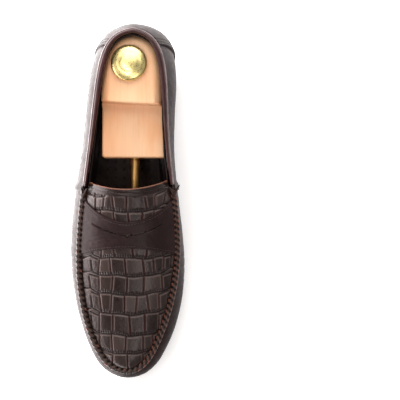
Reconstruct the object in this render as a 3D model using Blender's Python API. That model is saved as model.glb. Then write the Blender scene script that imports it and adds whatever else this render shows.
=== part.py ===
"""Right-foot penny moccasin with the shoe tree that it is kept on.

Lengths are in millimetres until a mesh is made, where MM turns them into metres.
+Y points to the heel, -Y to the toe, +X to the big-toe (medial) side, +Z up, floor at Z = 0.

A station `a` runs from 0 at the back of the heel to 1 at the toe tip. A side is LATERAL or MEDIAL.
The upper is a wall that follows the shoe's widest outline. Its height is a level `v`: -2 is the edge
turned in under the insole, -1 the feather line, 0 the widest line and 1 the top edge. The apron closes
the front between the two top edges, and `q` runs across it from -1 (lateral) to 1 (medial).
"""

import math

import bmesh
import bpy
import numpy as np

MM = 0.001

# ---- driving dimensions ----
LENGTH = 291.8  # widest outline, heel to toe
HEEL_Y = 145.2  # back of the widest outline
LATERAL, MEDIAL = -1.0, 1.0
GAP = 0.35  # air left between neighbouring solids
LAYER_GAP = 0.55  # the same between curved layers, whose facets don't line up

UPPER_LEATHER = 1.3
LINING_LEATHER = 0.9
STIFFENER = 1.3
CORE_Y, CORE_Z = (-110.0, 110.0), 25.0  # a line inside the shoe, which tells outward from inward
OUTSOLE = 4.5
TOP_PIECE = 5.0
LIFT = 4.4
LASTING_MARGIN = 12.0
INSOLE_BOARD = 1.8
SOCK = 2.3

VAMP_REAR = 0.468  # station of the side seams
APRON_REAR = 0.457  # station of the tongue's corners
COUNTER_TOP, COUNTER_FOOT = 0.14, 0.205  # stations of the counter cover's front edge
COUNTER_LOW, TOPLINE_LEVEL = -0.72, 0.985  # levels of its lower and upper edges
ROLL_HALF_HEIGHT = 2.1
RIDGE_HALF_WIDTH, RIDGE_DOWN, RIDGE_UP = 1.7, 1.1, 2.3
APRON_EDGE = 2.1  # from the seam line to the apron's cut edge
APRON_TOE = 0.985  # station of the apron's last row
ARCH_POWER = 2.2  # higher is a flatter apron with steeper sides
TONGUE_START, TONGUE_RUN = 0.5, 0.04  # the tongue pulls in from its sides over this run of stations
TONGUE_NARROWING, TONGUE_LIFT = 1.6, 2.0
PAD_LEVEL = 0.75  # lower edge of the collar's padding
HEEL_SHARE = 0.245  # of the length

TREE_AXIS_X, TREE_AXIS_Z = 7.3, 39.5
BLOCK_FRONT_Y = 37.0
BLOCK_STEP_Y = 80.0
BLOCK_TOP_Z, BLOCK_LOW_TOP_Z, BLOCK_FOOT_Z = 66.0, 50.0, 26.8
KNOB_X, KNOB_Y, KNOB_RADIUS = 3.9, 112.3, 14.5
FOREPART_REAR_Y, FOREPART_FRONT_Y = -8.0, -114.0
SPLIT_X, SPLIT_GAP = -9.0, 5.0
REAR_TUBE_RADIUS, FRONT_TUBE_RADIUS, TUBE_WALL = 4.0, 5.0, 0.7
FRONT_TUBE_REAR_Y, FRONT_TUBE_FRONT_Y = -1.0, -58.0
REAR_TUBE_FRONT_Y = -14.0

LEATHER = ((0.045, 0.026, 0.022), 0.45, 0.0)
LINING = ((0.060, 0.022, 0.020), 0.55, 0.0)
RUBBER = ((0.020, 0.016, 0.015), 0.75, 0.0)
STACKED = ((0.070, 0.035, 0.022), 0.55, 0.0)
BOARD = ((0.330, 0.230, 0.150), 0.85, 0.0)
FOAM = ((0.550, 0.520, 0.460), 0.90, 0.0)
THREAD = ((0.110, 0.035, 0.022), 0.70, 0.0)
WOOD = ((0.760, 0.440, 0.220), 0.50, 0.0)
BRASS = ((0.850, 0.620, 0.220), 0.18, 1.0)
STEEL = ((0.560, 0.560, 0.570), 0.30, 1.0)


# ---- curves and the shoe's own coordinates ----
def spline(*knots):
    """A natural cubic spline through (position, value) knots, as a function of a number or an array."""
    x, y = np.array(knots, float).T
    step = np.diff(x)
    count = len(x)
    system, right = np.eye(count), np.zeros(count)
    for i in range(1, count - 1):
        system[i, i - 1 : i + 2] = step[i - 1], 2 * (step[i - 1] + step[i]), step[i]
        right[i] = 6 * ((y[i + 1] - y[i]) / step[i] - (y[i] - y[i - 1]) / step[i - 1])
    bend = np.linalg.solve(system, right)

    def value(at):
        at = np.clip(at, x[0], x[-1])
        i = np.clip(np.searchsorted(x, at) - 1, 0, count - 2)
        left = (x[i + 1] - at) / step[i]
        rest = 1 - left
        curved = (left**3 - left) * bend[i] + (rest**3 - rest) * bend[i + 1]
        return left * y[i] + rest * y[i + 1] + curved * step[i] ** 2 / 6

    return value


# Plan of the widest outline, by station.
half_width = spline((0, 0), (0.1, 21.5), (0.2, 33.5), (0.4, 38.5), (0.6, 47.7), (0.8, 33.5), (0.9, 19.5), (1, 0))
centre_x = spline((0, 7.5), (0.2, 6.7), (0.4, 1.0), (0.5, -0.5), (0.7, 1.0), (0.85, 0.5), (1, 1.0))
# The top edge's height, and how far it leans in from the widest outline.
top_z = spline(
    (0, 72), (0.2, 70), (0.3, 64.5), (0.4, 60), (0.5, 56.5), (0.6, 45.5), (0.7, 38), (0.8, 35), (1, 34.5)
)
top_lean = {
    LATERAL: spline((0, 6.8), (0.25, 9.6), (0.4, 9.0), (0.55, 9.9), (0.7, 7.0), (0.85, 7.0), (1, 6.8)),
    MEDIAL: spline((0, 6.8), (0.15, 10.2), (0.3, 7.2), (0.5, 3.0), (0.7, 8.7), (0.9, 8.2), (1, 6.8)),
}
widest_z = spline((0, 42), (0.2, 40), (0.35, 34), (0.5, 28), (0.65, 22), (0.8, 22), (1, 25))
foot_inset = spline((0, 6.5), (0.2, 7), (0.35, 10.5), (0.5, 10.5), (0.65, 7), (0.8, 7), (1, 8))
# The apron's ridge line, and how far its rows bow towards the toe.
crown_z = spline((0.45, 78), (0.5, 73), (0.6, 59.5), (0.7, 50), (0.8, 44.5), (0.9, 40), (1, 34.5))
row_bow = spline((0.45, 6.8), (0.55, 5), (0.7, 2), (0.8, 0), (1, 0))
# Half the width of the topline's roll.
roll_half = spline((0, 2.1), (0.1, 2.3), (0.2, 2.75), (0.3, 2.5), (0.4, 1.9), (0.47, 1.5))
# The top face of the outsole, by the share of the length from the heel.
outsole_top = spline(
    (0, 19.5), (0.2, 19.2), (0.35, 14.6), (0.5, 7.8), (0.6, 4.7), (0.66, 4.3), (0.76, 4.3), (0.86, 6.3),
    (1, 12.6),
)


def seat_z(y):
    """Height of the outsole's top face at y."""
    return outsole_top((HEEL_Y - y) / LENGTH)


def outline(side, a):
    """(x, y) of the widest outline."""
    return centre_x(a) + side * half_width(a), HEEL_Y - LENGTH * (1 - np.cos(np.pi * a)) / 2


def station_at(y):
    """The station whose row crosses y."""
    return np.arccos(np.clip(1 - 2 * (HEEL_Y - y) / LENGTH, -1, 1)) / np.pi


def along(side, a, step):
    """(x, y) a small step further along the closed outline, which runs on over the heel and the toe."""
    b = a + step
    side = np.where((b < 0) | (b > 1), -side, side)
    b = np.where(b < 0, -b, np.where(b > 1, 2 - b, b))
    return outline(side, b)


def plan_normal(side, a):
    """Unit vector in plan that points out of the shoe."""
    step = 1e-4
    x0, y0 = along(side, a, -step)
    x1, y1 = along(side, a, step)
    nx, ny = -side * (y1 - y0), side * (x1 - x0)
    size = np.hypot(nx, ny)
    return nx / size, ny / size


def lean(side, a):
    return np.where(side < 0, top_lean[LATERAL](a), top_lean[MEDIAL](a))


def offset_outline(side, a, out):
    """(x, y) at a distance out of the widest outline."""
    x, y = outline(side, a)
    nx, ny = plan_normal(side, a)
    return x + nx * out, y + ny * out


def wall(side, a, v):
    """Outer face of the upper's wall at level v."""
    side, a, v = np.broadcast_arrays(*np.atleast_1d(side, a, v))
    inset = foot_inset(a)
    turn = np.clip(v + 1, 0, 1) * np.pi / 2
    up = np.clip(v, 0, None)
    out = -inset * (1 - np.sin(turn)) - lean(side, a) * up**2 + np.minimum(v + 1, 0) * LASTING_MARGIN
    x, y = offset_outline(side, a, out)
    foot = seat_z(y) + GAP
    rise = (widest_z(a) - foot) * (1 - np.cos(turn)) + (top_z(a) - widest_z(a)) * up
    return np.stack([x, y, foot + rise], -1)


def apron(a, q, edge=0.0):
    """Outer face of the apron, whose sides lie `edge` inside the seam line."""
    a, q, edge = np.broadcast_arrays(*np.atleast_1d(a, q, edge))
    tongue = np.clip((TONGUE_START - a) / TONGUE_RUN, 0, 1)
    inset = edge + TONGUE_NARROWING * tongue**1.5
    xl, yl = offset_outline(LATERAL, a, -lean(LATERAL, a) - inset)
    xm, ym = offset_outline(MEDIAL, a, -lean(MEDIAL, a) - inset)
    share = (q + 1) / 2
    arch = 1 - np.abs(q) ** ARCH_POWER
    x = xl + (xm - xl) * share
    y = yl + (ym - yl) * share - row_bow(a) * (1 - q**2)
    z = top_z(a) + TONGUE_LIFT * tongue + (crown_z(a) - top_z(a)) * arch
    return np.stack([x, y, z], -1)


def apron_station(y, q):
    """The station where column q of the apron crosses y, by Newton's steps."""
    a = station_at(y)
    for _ in range(6):
        a = a + (apron(a, q)[..., 1] - y) / (LENGTH * np.pi / 2 * np.sin(np.pi * a))
    return a


def pushed(surface, first, second, out, steps=(1e-3, 1e-3)):
    """Points of surface(first, second), moved `out` along the normal that points away from the inside."""
    first, second = np.broadcast_arrays(*np.atleast_1d(first, second))
    du = surface(first + steps[0], second) - surface(first - steps[0], second)
    dv = surface(first, second + steps[1]) - surface(first, second - steps[1])
    points = surface(first, second)
    normal = np.cross(du, dv)
    normal /= np.linalg.norm(normal, axis=-1, keepdims=True)
    zero = 0 * points[..., 0]
    inside = np.stack([zero, np.clip(points[..., 1], *CORE_Y), zero + CORE_Z], -1)
    facing = np.sign(((points - inside) * normal).sum(-1).mean())
    return points + facing * normal * np.asarray(out)[..., None]


def unrolled_wall(p, v):
    """The wall by a running station p: 0 at the heel, and at the toe -1 (lateral) or 1 (medial)."""
    p = np.asarray(p, float)
    p = (p + 1) % 2 - 1
    return wall(np.where(p < 0, LATERAL, MEDIAL), np.abs(p), v)


def front_wall(p, v):
    """The wall by a running station p: 0 at the toe tip, below 0 lateral and above 0 medial."""
    p = np.asarray(p, float)
    return wall(np.where(p < 0, LATERAL, MEDIAL), 1 - np.abs(p), v)


# ---- meshes ----
def material(name, look):
    found = bpy.data.materials.get(name)
    if found:
        return found
    made = bpy.data.materials.new(name)
    made.use_nodes = True
    shader = made.node_tree.nodes["Principled BSDF"]
    colour, roughness, metallic = look
    shader.inputs["Base Color"].default_value = (*colour, 1)
    shader.inputs["Roughness"].default_value = roughness
    shader.inputs["Metallic"].default_value = metallic
    made.diffuse_color = (*colour, 1)
    return made


def add_part(name, points, faces, look, parent=None, sharp=35):
    """A named object from points in millimetres, with its origin in the middle of its box."""
    points = np.asarray(points, float).reshape(-1, 3)
    middle = np.round((points.min(0) + points.max(0)) / 2, 1)
    mesh = bpy.data.meshes.new(name)
    body = bmesh.new()
    corners = [body.verts.new((p - middle) * MM) for p in points]
    for face in faces:
        body.faces.new([corners[i] for i in face])
    bmesh.ops.delete(body, geom=[v for v in body.verts if not v.link_faces], context="VERTS")
    bmesh.ops.remove_doubles(body, verts=body.verts, dist=2e-6)
    bmesh.ops.recalc_face_normals(body, faces=body.faces)
    body.to_mesh(mesh)
    body.free()
    mesh.shade_smooth()
    mesh.set_sharp_from_angle(angle=math.radians(sharp))
    mesh.materials.append(material(name + "_finish", look))
    made = bpy.data.objects.new(name, mesh)
    made.location = middle * MM
    bpy.context.scene.collection.objects.link(made)
    if parent:
        made.parent = parent
        made.matrix_parent_inverse = parent.matrix_basis.inverted()
    return made


def plate_faces(rows, columns, keep=None, first=0):
    """Faces of a closed solid between two grids of points, less the cells that keep leaves out."""
    keep = np.ones((rows - 1, columns - 1), bool) if keep is None else keep
    upper = first + np.arange(rows * columns).reshape(rows, columns)
    lower = upper + rows * columns
    faces = []
    for i, j in np.argwhere(keep):
        ring = [(i, j), (i + 1, j), (i + 1, j + 1), (i, j + 1)]
        faces.append([upper[c] for c in ring])
        faces.append([lower[c] for c in reversed(ring)])
        for side, (di, dj) in enumerate(((0, -1), (1, 0), (0, 1), (-1, 0))):
            ni, nj = i + di, j + dj
            if not (0 <= ni < rows - 1 and 0 <= nj < columns - 1 and keep[ni, nj]):
                p, q = ring[side], ring[(side + 1) % 4]
                faces.append([upper[q], upper[p], lower[p], lower[q]])
    return faces


def add_plate(name, upper, lower, look, parent=None, keep=None):
    rows, columns = upper.shape[:2]
    points = np.concatenate([upper.reshape(-1, 3), lower.reshape(-1, 3)])
    return add_part(name, points, plate_faces(rows, columns, keep), look, parent)


def tube_faces(rings, sides, first=0, closed=False):
    """Faces of a tube of rings x sides points, with flat ends unless it is closed on itself."""
    faces = []
    for i in range(rings if closed else rings - 1):
        for j in range(sides):
            here, there = first + i * sides, first + (i + 1) % rings * sides
            k = (j + 1) % sides
            faces.append([here + j, here + k, there + k, there + j])
    if not closed:
        faces.append([first + j for j in range(sides)])
        faces.append([first + (rings - 1) * sides + j for j in reversed(range(sides))])
    return faces


def add_tube(name, rings, look, parent=None):
    """A solid from rings, an array of (ring, side, xyz)."""
    count, sides = rings.shape[:2]
    return add_part(name, rings, tube_faces(count, sides), look, parent)


def add_turned(name, profile, place, look, parent=None, axis="Z", segments=16):
    """A solid of revolution from (radius, height) points that go round its section once."""
    angles = np.arange(segments) * 2 * np.pi / segments
    radius, height = np.array(profile, float).T
    across, other = np.outer(np.cos(angles), radius), np.outer(np.sin(angles), radius)
    points = np.stack([across, other, np.tile(height, (segments, 1))], -1)
    if axis == "Y":
        points = points[..., [0, 2, 1]]
    if axis == "X":
        points = points[..., [2, 0, 1]]
    points = points + np.array(place, float)
    return add_part(name, points, tube_faces(segments, len(profile), closed=True), look, parent)


def add_cutter(name, points, faces):
    made = add_part(name, points, faces, STEEL)
    made.hide_render = True
    made.display_type = "WIRE"
    return made


def round_cutter(name, radius, start, end, segments=16):
    """A closed cylinder from start to end, for cutting a hole."""
    start, end = np.array(start, float), np.array(end, float)
    way = (end - start) / np.linalg.norm(end - start)
    across = np.cross(way, (0, 0, 1) if abs(way[2]) < 0.9 else (1, 0, 0))
    across /= np.linalg.norm(across)
    other = np.cross(way, across)
    angles = np.arange(segments) * 2 * np.pi / segments
    ring = np.outer(np.cos(angles), across) * radius + np.outer(np.sin(angles), other) * radius
    points = np.concatenate([ring + start, ring + end])
    return add_cutter(name, points, tube_faces(2, segments))


def cut(target, cutter):
    step = target.modifiers.new(cutter.name, "BOOLEAN")
    step.operation = "DIFFERENCE"
    step.solver = "EXACT"
    step.object = cutter


def empty(name, place):
    made = bpy.data.objects.new(name, None)
    made.location = np.array(place, float) * MM
    bpy.context.scene.collection.objects.link(made)
    return made


def stations(first, last, pitch=1 / 32):
    """first, last and the regular stations between them, so that neighbouring layers share their rows."""
    low, high = sorted((first, last))
    inner = np.arange(math.floor(low / pitch) + 1, math.ceil(high / pitch)) * pitch
    inner = inner[(inner > low + 0.3 * pitch) & (inner < high - 0.3 * pitch)]
    found = np.concatenate([[low], inner, [high]])
    return found if first < last else found[::-1]


# ---- the bottom of the shoe ----
def floor_plate(name, inset, low, high, look, parent, first=0.0, last=1.0, columns=3, front=None):
    """A plate over the sole's plan, cut off at y = front where that is given.

    inset is measured in from the feather line, and low and high are functions of y.
    """
    a = stations(first, last)[:, None]
    share = np.linspace(0, 1, columns)[None, :]
    reach = foot_inset(a) + inset
    xl, yl = offset_outline(LATERAL, a, -reach)
    xm, ym = offset_outline(MEDIAL, a, -reach)
    x, y = xl + (xm - xl) * share, yl + (ym - yl) * share
    if front is not None:
        y = np.maximum(y, front)
    return add_plate(name, np.stack([x, y, high(y)], -1), np.stack([x, y, low(y)], -1), look, parent)


def outsole_low(y):
    return np.maximum(seat_z(y) - OUTSOLE, 0.0)


def level_plane(height):
    """A flat face at one height, as a function of y."""
    return lambda y: np.full_like(y, height)


def build_heel(shoe):
    """The heel's three layers, which meet the outsole's underside and end at the breast."""
    breast = HEEL_Y - HEEL_SHARE * LENGTH
    last = station_at(breast) + 0.012
    lift_low = TOP_PIECE + GAP
    upper_low = lift_low + LIFT + GAP
    layers = [
        ("heel_top_piece", -1.6, level_plane(0.0), level_plane(TOP_PIECE), RUBBER),
        ("heel_lift_lower", -1.8, level_plane(lift_low), level_plane(lift_low + LIFT), STACKED),
        ("heel_lift_upper", -2.0, level_plane(upper_low), lambda y: outsole_low(y) - GAP, STACKED),
    ]
    parts = [
        floor_plate(name, inset, low, high, look, shoe, 0.0, last, front=breast)
        for name, inset, low, high, look in layers
    ]
    build_nails(shoe, parts[:2])


def build_bottom(shoe):
    board_low = lambda y: seat_z(y) + UPPER_LEATHER + 2 * GAP
    board_high = lambda y: board_low(y) + INSOLE_BOARD
    sock_low = lambda y: board_high(y) + GAP
    floor_plate("outsole", -2.2, outsole_low, seat_z, RUBBER, shoe)
    build_heel(shoe)
    floor_plate("insole_board", 0.9, board_low, board_high, BOARD, shoe)
    floor_plate("sock_liner", 1.8, sock_low, lambda y: sock_low(y) + SOCK, LINING, shoe)
    build_shank(shoe)


def build_nails(shoe, heel_parts):
    """Five nails that hold the heel's top piece, in clearance holes."""
    shaft, head, hole = 0.9, 1.7, 2.1
    sunk, head_low, point = 0.4, 1.4, 8.5
    middle_x = 5.6
    places = [(-20, 96), (20, 96), (-19, 122), (19, 122), (0, 134)]
    profile = [
        (0, sunk), (head, sunk), (head, head_low), (shaft, head_low + 0.2), (shaft, point), (0, point),
    ]
    for i, (across, y) in enumerate(places, 1):
        x = middle_x + across
        add_turned(f"heel_nail_{i}", profile, (x, y, 0), BRASS, shoe, segments=8)
        cutter = round_cutter(f"nail_hole_{i}", hole, (x, y, -1), (x, y, point + 0.5), 8)
        for part in heel_parts:
            cut(part, cutter)


def build_shank(shoe):
    """The steel strip that stiffens the waist, between outsole and insole board."""
    rear_y, front_y, half, thickness = 88, 2, 7, 1.2
    y = np.linspace(rear_y, front_y, 10)[:, None]
    x = centre_x(station_at(y)) + np.linspace(-half, half, 3)[None, :]
    y = y + 0 * x
    low = np.stack([x, y, seat_z(y) + 0.4], -1)
    add_plate("shank", low + (0, 0, thickness), low, STEEL, shoe)


# ---- the upper ----
QUARTER_LEVELS = np.array([-2, -1, -0.75, -0.5, -0.25, 0, 0.25, 0.5, 0.75, 1.0])
LINING_LEVELS = np.array([-0.73, -0.5, -0.25, 0, 0.25, 0.5, 0.75, 0.985])
WALL_LEVELS = np.array([-2, -1, -0.75, -0.5, -0.25, 0, 0.45, 0.9])


def wall_layer(name, p, v, inner, outer, look, parent):
    """A leather layer on the wall, between two distances from its outer face."""
    low = pushed(unrolled_wall, p, v, inner)
    high = pushed(unrolled_wall, p, v, outer)
    return add_plate(name, high, low, look, parent)


def build_quarters(shoe):
    """The two quarters and the counter cover, then the layers between them and the foot."""
    back_seam, side_seam, cover_leather = 0.0025, 0.001, 1.1
    for name, sign in (("quarter_lateral", -1), ("quarter_medial", 1)):
        p = sign * stations(back_seam, VAMP_REAR - side_seam)[:, None]
        levels = (QUARTER_LEVELS if sign > 0 else QUARTER_LEVELS[::-1])[None, :]
        wall_layer(name, p, levels, -UPPER_LEATHER, 0.0, LEATHER, shoe)
    v = np.linspace(COUNTER_LOW, TOPLINE_LEVEL, 8)[None, :]
    up = (v - COUNTER_LOW) / (TOPLINE_LEVEL - COUNTER_LOW)
    reach = COUNTER_FOOT + (COUNTER_TOP - COUNTER_FOOT) * up
    p = np.linspace(-1, 1, 17)[:, None] * reach
    wall_layer("counter_cover", p, v + 0 * p, LAYER_GAP, LAYER_GAP + cover_leather, LEATHER, shoe)
    p = stations(-0.27, 0.27)[:, None]
    v = np.array([-0.75, -0.5, -0.25, 0, 0.25, 0.5, 0.65])[None, :]
    inner = -(UPPER_LEATHER + LAYER_GAP + STIFFENER)
    wall_layer("heel_stiffener", p, v, inner, inner + STIFFENER, BOARD, shoe)
    p = stations(-0.44, 0.44)[:, None]
    v = np.array([PAD_LEVEL, TOPLINE_LEVEL])[None, :]
    wall_layer("collar_padding", p, v, inner, inner + STIFFENER, FOAM, shoe)
    p = stations(-VAMP_REAR + 0.004, VAMP_REAR - 0.004)[:, None]
    outer = inner - LAYER_GAP
    wall_layer("quarter_lining", p, LINING_LEVELS[None, :], outer - LINING_LEATHER, outer, LINING, shoe)


def build_front(shoe):
    """The wall in front of the side seams, round the toe, and its lining."""
    reach = 1 - VAMP_REAR
    p = stations(-reach, reach)[:, None]
    levels = WALL_LEVELS[::-1][None, :]
    low = pushed(front_wall, p, levels, -UPPER_LEATHER)
    add_plate("vamp_wall", pushed(front_wall, p, levels, 0.0), low, LEATHER, shoe)
    p = stations(-reach + 0.002, reach - 0.002)[:, None]
    levels = np.array([0.84, 0.45, 0, -0.25, -0.5, -0.73])[None, :]
    near = UPPER_LEATHER + LAYER_GAP
    inner = pushed(front_wall, p, levels, -near - LINING_LEATHER)
    add_plate("vamp_lining", pushed(front_wall, p, levels, -near), inner, LINING, shoe)


def apron_layer(name, edge, inner, outer, look, parent, first=APRON_REAR, rows=17, columns=11):
    """A layer of the apron and tongue, between two distances from the apron's outer face."""
    a = first + (APRON_TOE - first) * np.sin(np.linspace(0, 1, rows) * np.pi / 2)[:, None] ** 0.9
    q = np.linspace(-1, 1, columns)[None, :]
    surface = lambda s, t: apron(s, t, edge)
    steps = (2e-4, 1e-3)
    low = pushed(surface, a, q, inner, steps)
    add_plate(name, pushed(surface, a, q, outer, steps), low, look, parent)


def strap_curves(q):
    """y of the strap's upper edge, slot top, slot foot and lower edge, across the apron."""
    bow = 1 - q**2
    upper = 3.9 - 18.6 * bow
    lower = -42.5 + 6.0 * bow
    slot_middle = -15.0 - 10.2 * np.clip(1 - (q / 0.78) ** 2, 0, 1)
    slot = 0.9 * np.clip(1 - (q / 0.74) ** 2, 0, 1) ** 0.5
    return upper, slot_middle + slot, slot_middle - slot, lower


def build_strap(shoe):
    """The penny strap, with its crescent slot."""
    reach, narrowest, slot_row, closed_ends = 0.955, 0.8, 2, 3
    above, thickness = 0.4, 1.3
    q = np.linspace(-reach, reach, 21)[:, None]
    upper, slot_high, slot_low, lower = strap_curves(q)
    slot_low = np.minimum(slot_low, slot_high - narrowest)
    rows = [upper, (upper + slot_high) / 2, slot_high, slot_low, (slot_low + lower) / 2, lower]
    y = np.concatenate(rows, 1)
    q = q + 0 * y
    a = apron_station(y, q)
    keep = np.ones((y.shape[0] - 1, y.shape[1] - 1), bool)
    keep[closed_ends:-closed_ends, slot_row] = False
    surface = lambda s, t: apron(s, t, APRON_EDGE)
    low = pushed(surface, a, q, above)
    add_plate("saddle_strap", pushed(surface, a, q, above + thickness), low, LEATHER, shoe, keep)


def seam_line(p):
    """The moccasin seam and its outward plan normal, by the running station of front_wall."""
    side = np.where(p < 0, LATERAL, MEDIAL)
    a = 1 - np.abs(p)
    x, y = offset_outline(side, a, -lean(side, a))
    nx, ny = plan_normal(side, a)
    return np.stack([x, y, top_z(a)], -1), np.stack([nx, ny, 0 * nx], -1)


def build_seam(shoe):
    """The raised seam that joins wall and apron, and the thread over it."""
    reach = 1 - VAMP_REAR - 0.004
    thread_half, thread_high = 1.6, 0.7
    line, out = seam_line(stations(-reach, reach))
    up = np.array([0, 0, 1.0])
    section = [(-1, -0.4), (-1, 0.5), (-0.5, 1), (0.5, 1), (1, 0.5), (1, -0.4), (0, -1)]
    rings = []
    for share, height in section:
        rise = height * (RIDGE_UP if height > 0 else RIDGE_DOWN)
        rings.append(line + out * (share * RIDGE_HALF_WIDTH) + up * rise)
    add_tube("seam_ridge", np.stack(rings, 1), LEATHER, shoe)
    box = [(-thread_half, 0), (thread_half, 0), (thread_half, thread_high), (-thread_half, thread_high)]
    rings = [line + out * s + up * (RIDGE_UP + GAP + h) for s, h in box]
    add_tube("seam_thread", np.stack(rings, 1), THREAD, shoe)


def build_binding(shoe):
    """The rolled binding that sits on the topline."""
    overhang, seat = 0.3, 0.85
    p = stations(-VAMP_REAR + 0.006, VAMP_REAR - 0.006)
    side = np.where(p < 0, LATERAL, MEDIAL)
    a = np.abs(p)
    x, y = offset_outline(side, a, -lean(side, a))
    nx, ny = plan_normal(side, a)
    rings = []
    for angle in np.arange(8) * np.pi / 4:
        out = roll_half(a) * (np.cos(angle) - 1) + overhang
        z = top_z(a) + seat + ROLL_HALF_HEIGHT * (1 + np.sin(angle))
        rings.append(np.stack([x + nx * out, y + ny * out, z], -1))
    add_tube("topline_binding", np.stack(rings, 1), LINING, shoe)


# ---- the shoe tree ----
def block_ring(z, front_y, clear):
    """Outline of the heel block at height z: the heel's inner wall less a clearance, flat in front."""
    middle_x, half = TREE_AXIS_X - 0.3, 26.2
    p = np.linspace(-0.45, 0.45, 27)
    side = np.where(p < 0, LATERAL, MEDIAL)
    a = np.abs(p)
    level = np.clip((z - widest_z(a)) / (top_z(a) - widest_z(a)), 0, 1)
    depth = np.clip((widest_z(a) - z) / (widest_z(a) - seat_z(HEEL_Y)), 0, 1)
    out = -lean(side, a) * level**2 - foot_inset(a) * (1 - np.sqrt(1 - 0.9 * depth**2)) - clear
    x, y = offset_outline(side, a, out)
    return np.stack([np.clip(x, middle_x - half, middle_x + half), np.maximum(y, front_y), 0 * x + z], -1)


def on_tree_axis(y):
    return (TREE_AXIS_X, y, TREE_AXIS_Z)


def build_heel_block(slider):
    """The heel block, stepped down in front of the knob, with its bores."""
    clearances = [
        (BLOCK_FOOT_Z, 8.0), (31, 6.4), (38, 5.3), (46, 5.3), (56, 6.4), (64, 8.2), (BLOCK_TOP_Z, 9.4),
    ]
    rings = np.stack([block_ring(z, BLOCK_FRONT_Y, clear) for z, clear in clearances])
    block = add_tube("tree_heel_block", rings, WOOD, slider)
    front, skew, above = 20, 1.5, 80
    plan = [(-40, front), (50, front), (50, BLOCK_STEP_Y - skew), (-40, BLOCK_STEP_Y + skew)]
    step = [(x, y, z) for z in (BLOCK_LOW_TOP_Z, above) for x, y in plan]
    bores = [
        add_cutter("block_step", step, tube_faces(2, 4)),
        round_cutter("tube_hole", REAR_TUBE_RADIUS + 0.3, on_tree_axis(front), on_tree_axis(62)),
        round_cutter("ferrule_seat", 8.3, on_tree_axis(front), on_tree_axis(BLOCK_FRONT_Y + 1.5)),
        round_cutter("knob_hole", 3.8, (KNOB_X, KNOB_Y, 50), (KNOB_X, KNOB_Y, above)),
    ]
    for bore in bores:
        cut(block, bore)


def build_knob(slider):
    """The brass knob on its stem, and the washer under it, by radius and height over the block."""
    stem, stem_foot = 3.5, -14.0
    profile = [
        (0, stem_foot), (stem - 0.2, stem_foot), (stem, stem_foot + 0.3), (stem, 1.6), (8.0, 1.7),
        (KNOB_RADIUS - 0.6, 2.2), (KNOB_RADIUS, 3.2), (KNOB_RADIUS - 0.7, 5.4),
        (KNOB_RADIUS - 3.0, 7.8), (KNOB_RADIUS - 7.0, 9.2), (0, 9.7),
    ]
    washer = [(3.9, 0.3), (7.5, 0.3), (7.5, 1.2), (3.9, 1.2)]
    place = (KNOB_X, KNOB_Y, BLOCK_TOP_Z)
    add_turned("tree_knob", profile, place, BRASS, slider)
    add_turned("tree_knob_washer", washer, place, BRASS, slider)


def build_rear_tube(slider):
    """The tube that is fixed in the heel block and slides in the front tube, and the ferrule round it."""
    inner, rear_end = REAR_TUBE_RADIUS - TUBE_WALL, 61
    tube = [
        (inner, REAR_TUBE_FRONT_Y), (REAR_TUBE_RADIUS, REAR_TUBE_FRONT_Y), (REAR_TUBE_RADIUS, rear_end),
        (inner, rear_end),
    ]
    add_turned("tree_rear_tube", tube, on_tree_axis(0), BRASS, slider, "Y")
    bore, rim = REAR_TUBE_RADIUS + 0.3, 7.9
    front, rear = BLOCK_FRONT_Y - 0.7, BLOCK_FRONT_Y + 1.1
    ferrule = [(bore, front), (rim, front), (rim, rear), (bore, rear)]
    add_turned("tree_ferrule", ferrule, on_tree_axis(0), BRASS, slider, "Y")


def forepart_ring(y):
    """Section of the forepart at y: an arch under the apron, straight flanks and a flat foot."""
    a = station_at(y)
    middle = centre_x(a)
    ahead = (FOREPART_REAR_Y - y) / (FOREPART_REAR_Y - FOREPART_FRONT_Y)
    clear = 5.0 + 3.5 * ahead
    foot = seat_z(y) + UPPER_LEATHER + INSOLE_BOARD + SOCK + 3 * GAP + 1.0
    shoulder, crown = top_z(a) - 6.5, crown_z(a) - 6.0 - 1.5 * ahead
    left = -half_width(a) + lean(LATERAL, a) + clear
    right = half_width(a) - lean(MEDIAL, a) - clear
    share = np.linspace(-1, 1, 9)
    arch = shoulder + (crown - shoulder) * (1 - np.abs(share) ** ARCH_POWER)
    flank = half_width(a) - clear
    sole = flank - foot_inset(a)
    waist = widest_z(a) + 1.0
    xs = [*(left + (right - left) * (share + 1) / 2), flank, sole, -sole, -flank]
    zs = [*arch, waist, foot, foot, waist]
    return np.stack([middle + np.array(xs), np.full(len(xs), y), np.array(zs)], -1)


def side_box(name, x_near, x_far):
    """A tall cutter over the whole forepart, from one x to another."""
    low, high = sorted((x_near, x_far))
    plan = [(low, -160), (high, -160), (high, 20), (low, 20)]
    corners = [(x, y, z) for z in (-5, 95) for x, y in plan]
    return add_cutter(name, corners, tube_faces(2, 4))


def build_forepart(shoe, wing_axis):
    """The split forepart: a main half that stays put and a wing that two springs press outwards."""
    half_gap, outside = SPLIT_GAP / 2, 70
    rings = np.stack([forepart_ring(y) for y in np.linspace(FOREPART_REAR_Y, FOREPART_FRONT_Y, 8)])
    main = add_tube("tree_forepart_main", rings, WOOD, shoe)
    wing = add_tube("tree_forepart_wing", rings, WOOD, wing_axis)
    cut(main, side_box("main_split", -outside, SPLIT_X + half_gap))
    cut(wing, side_box("wing_split", SPLIT_X - half_gap, outside))
    start, end = on_tree_axis(4), on_tree_axis(FRONT_TUBE_FRONT_Y - 1)
    cut(main, round_cutter("front_tube_hole", FRONT_TUBE_RADIUS + 0.3, start, end))
    for number, (y, z) in enumerate(((-32, 26), (-72, 24)), 1):
        build_guide_pin(number, y, z, shoe, main, wing)


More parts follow.
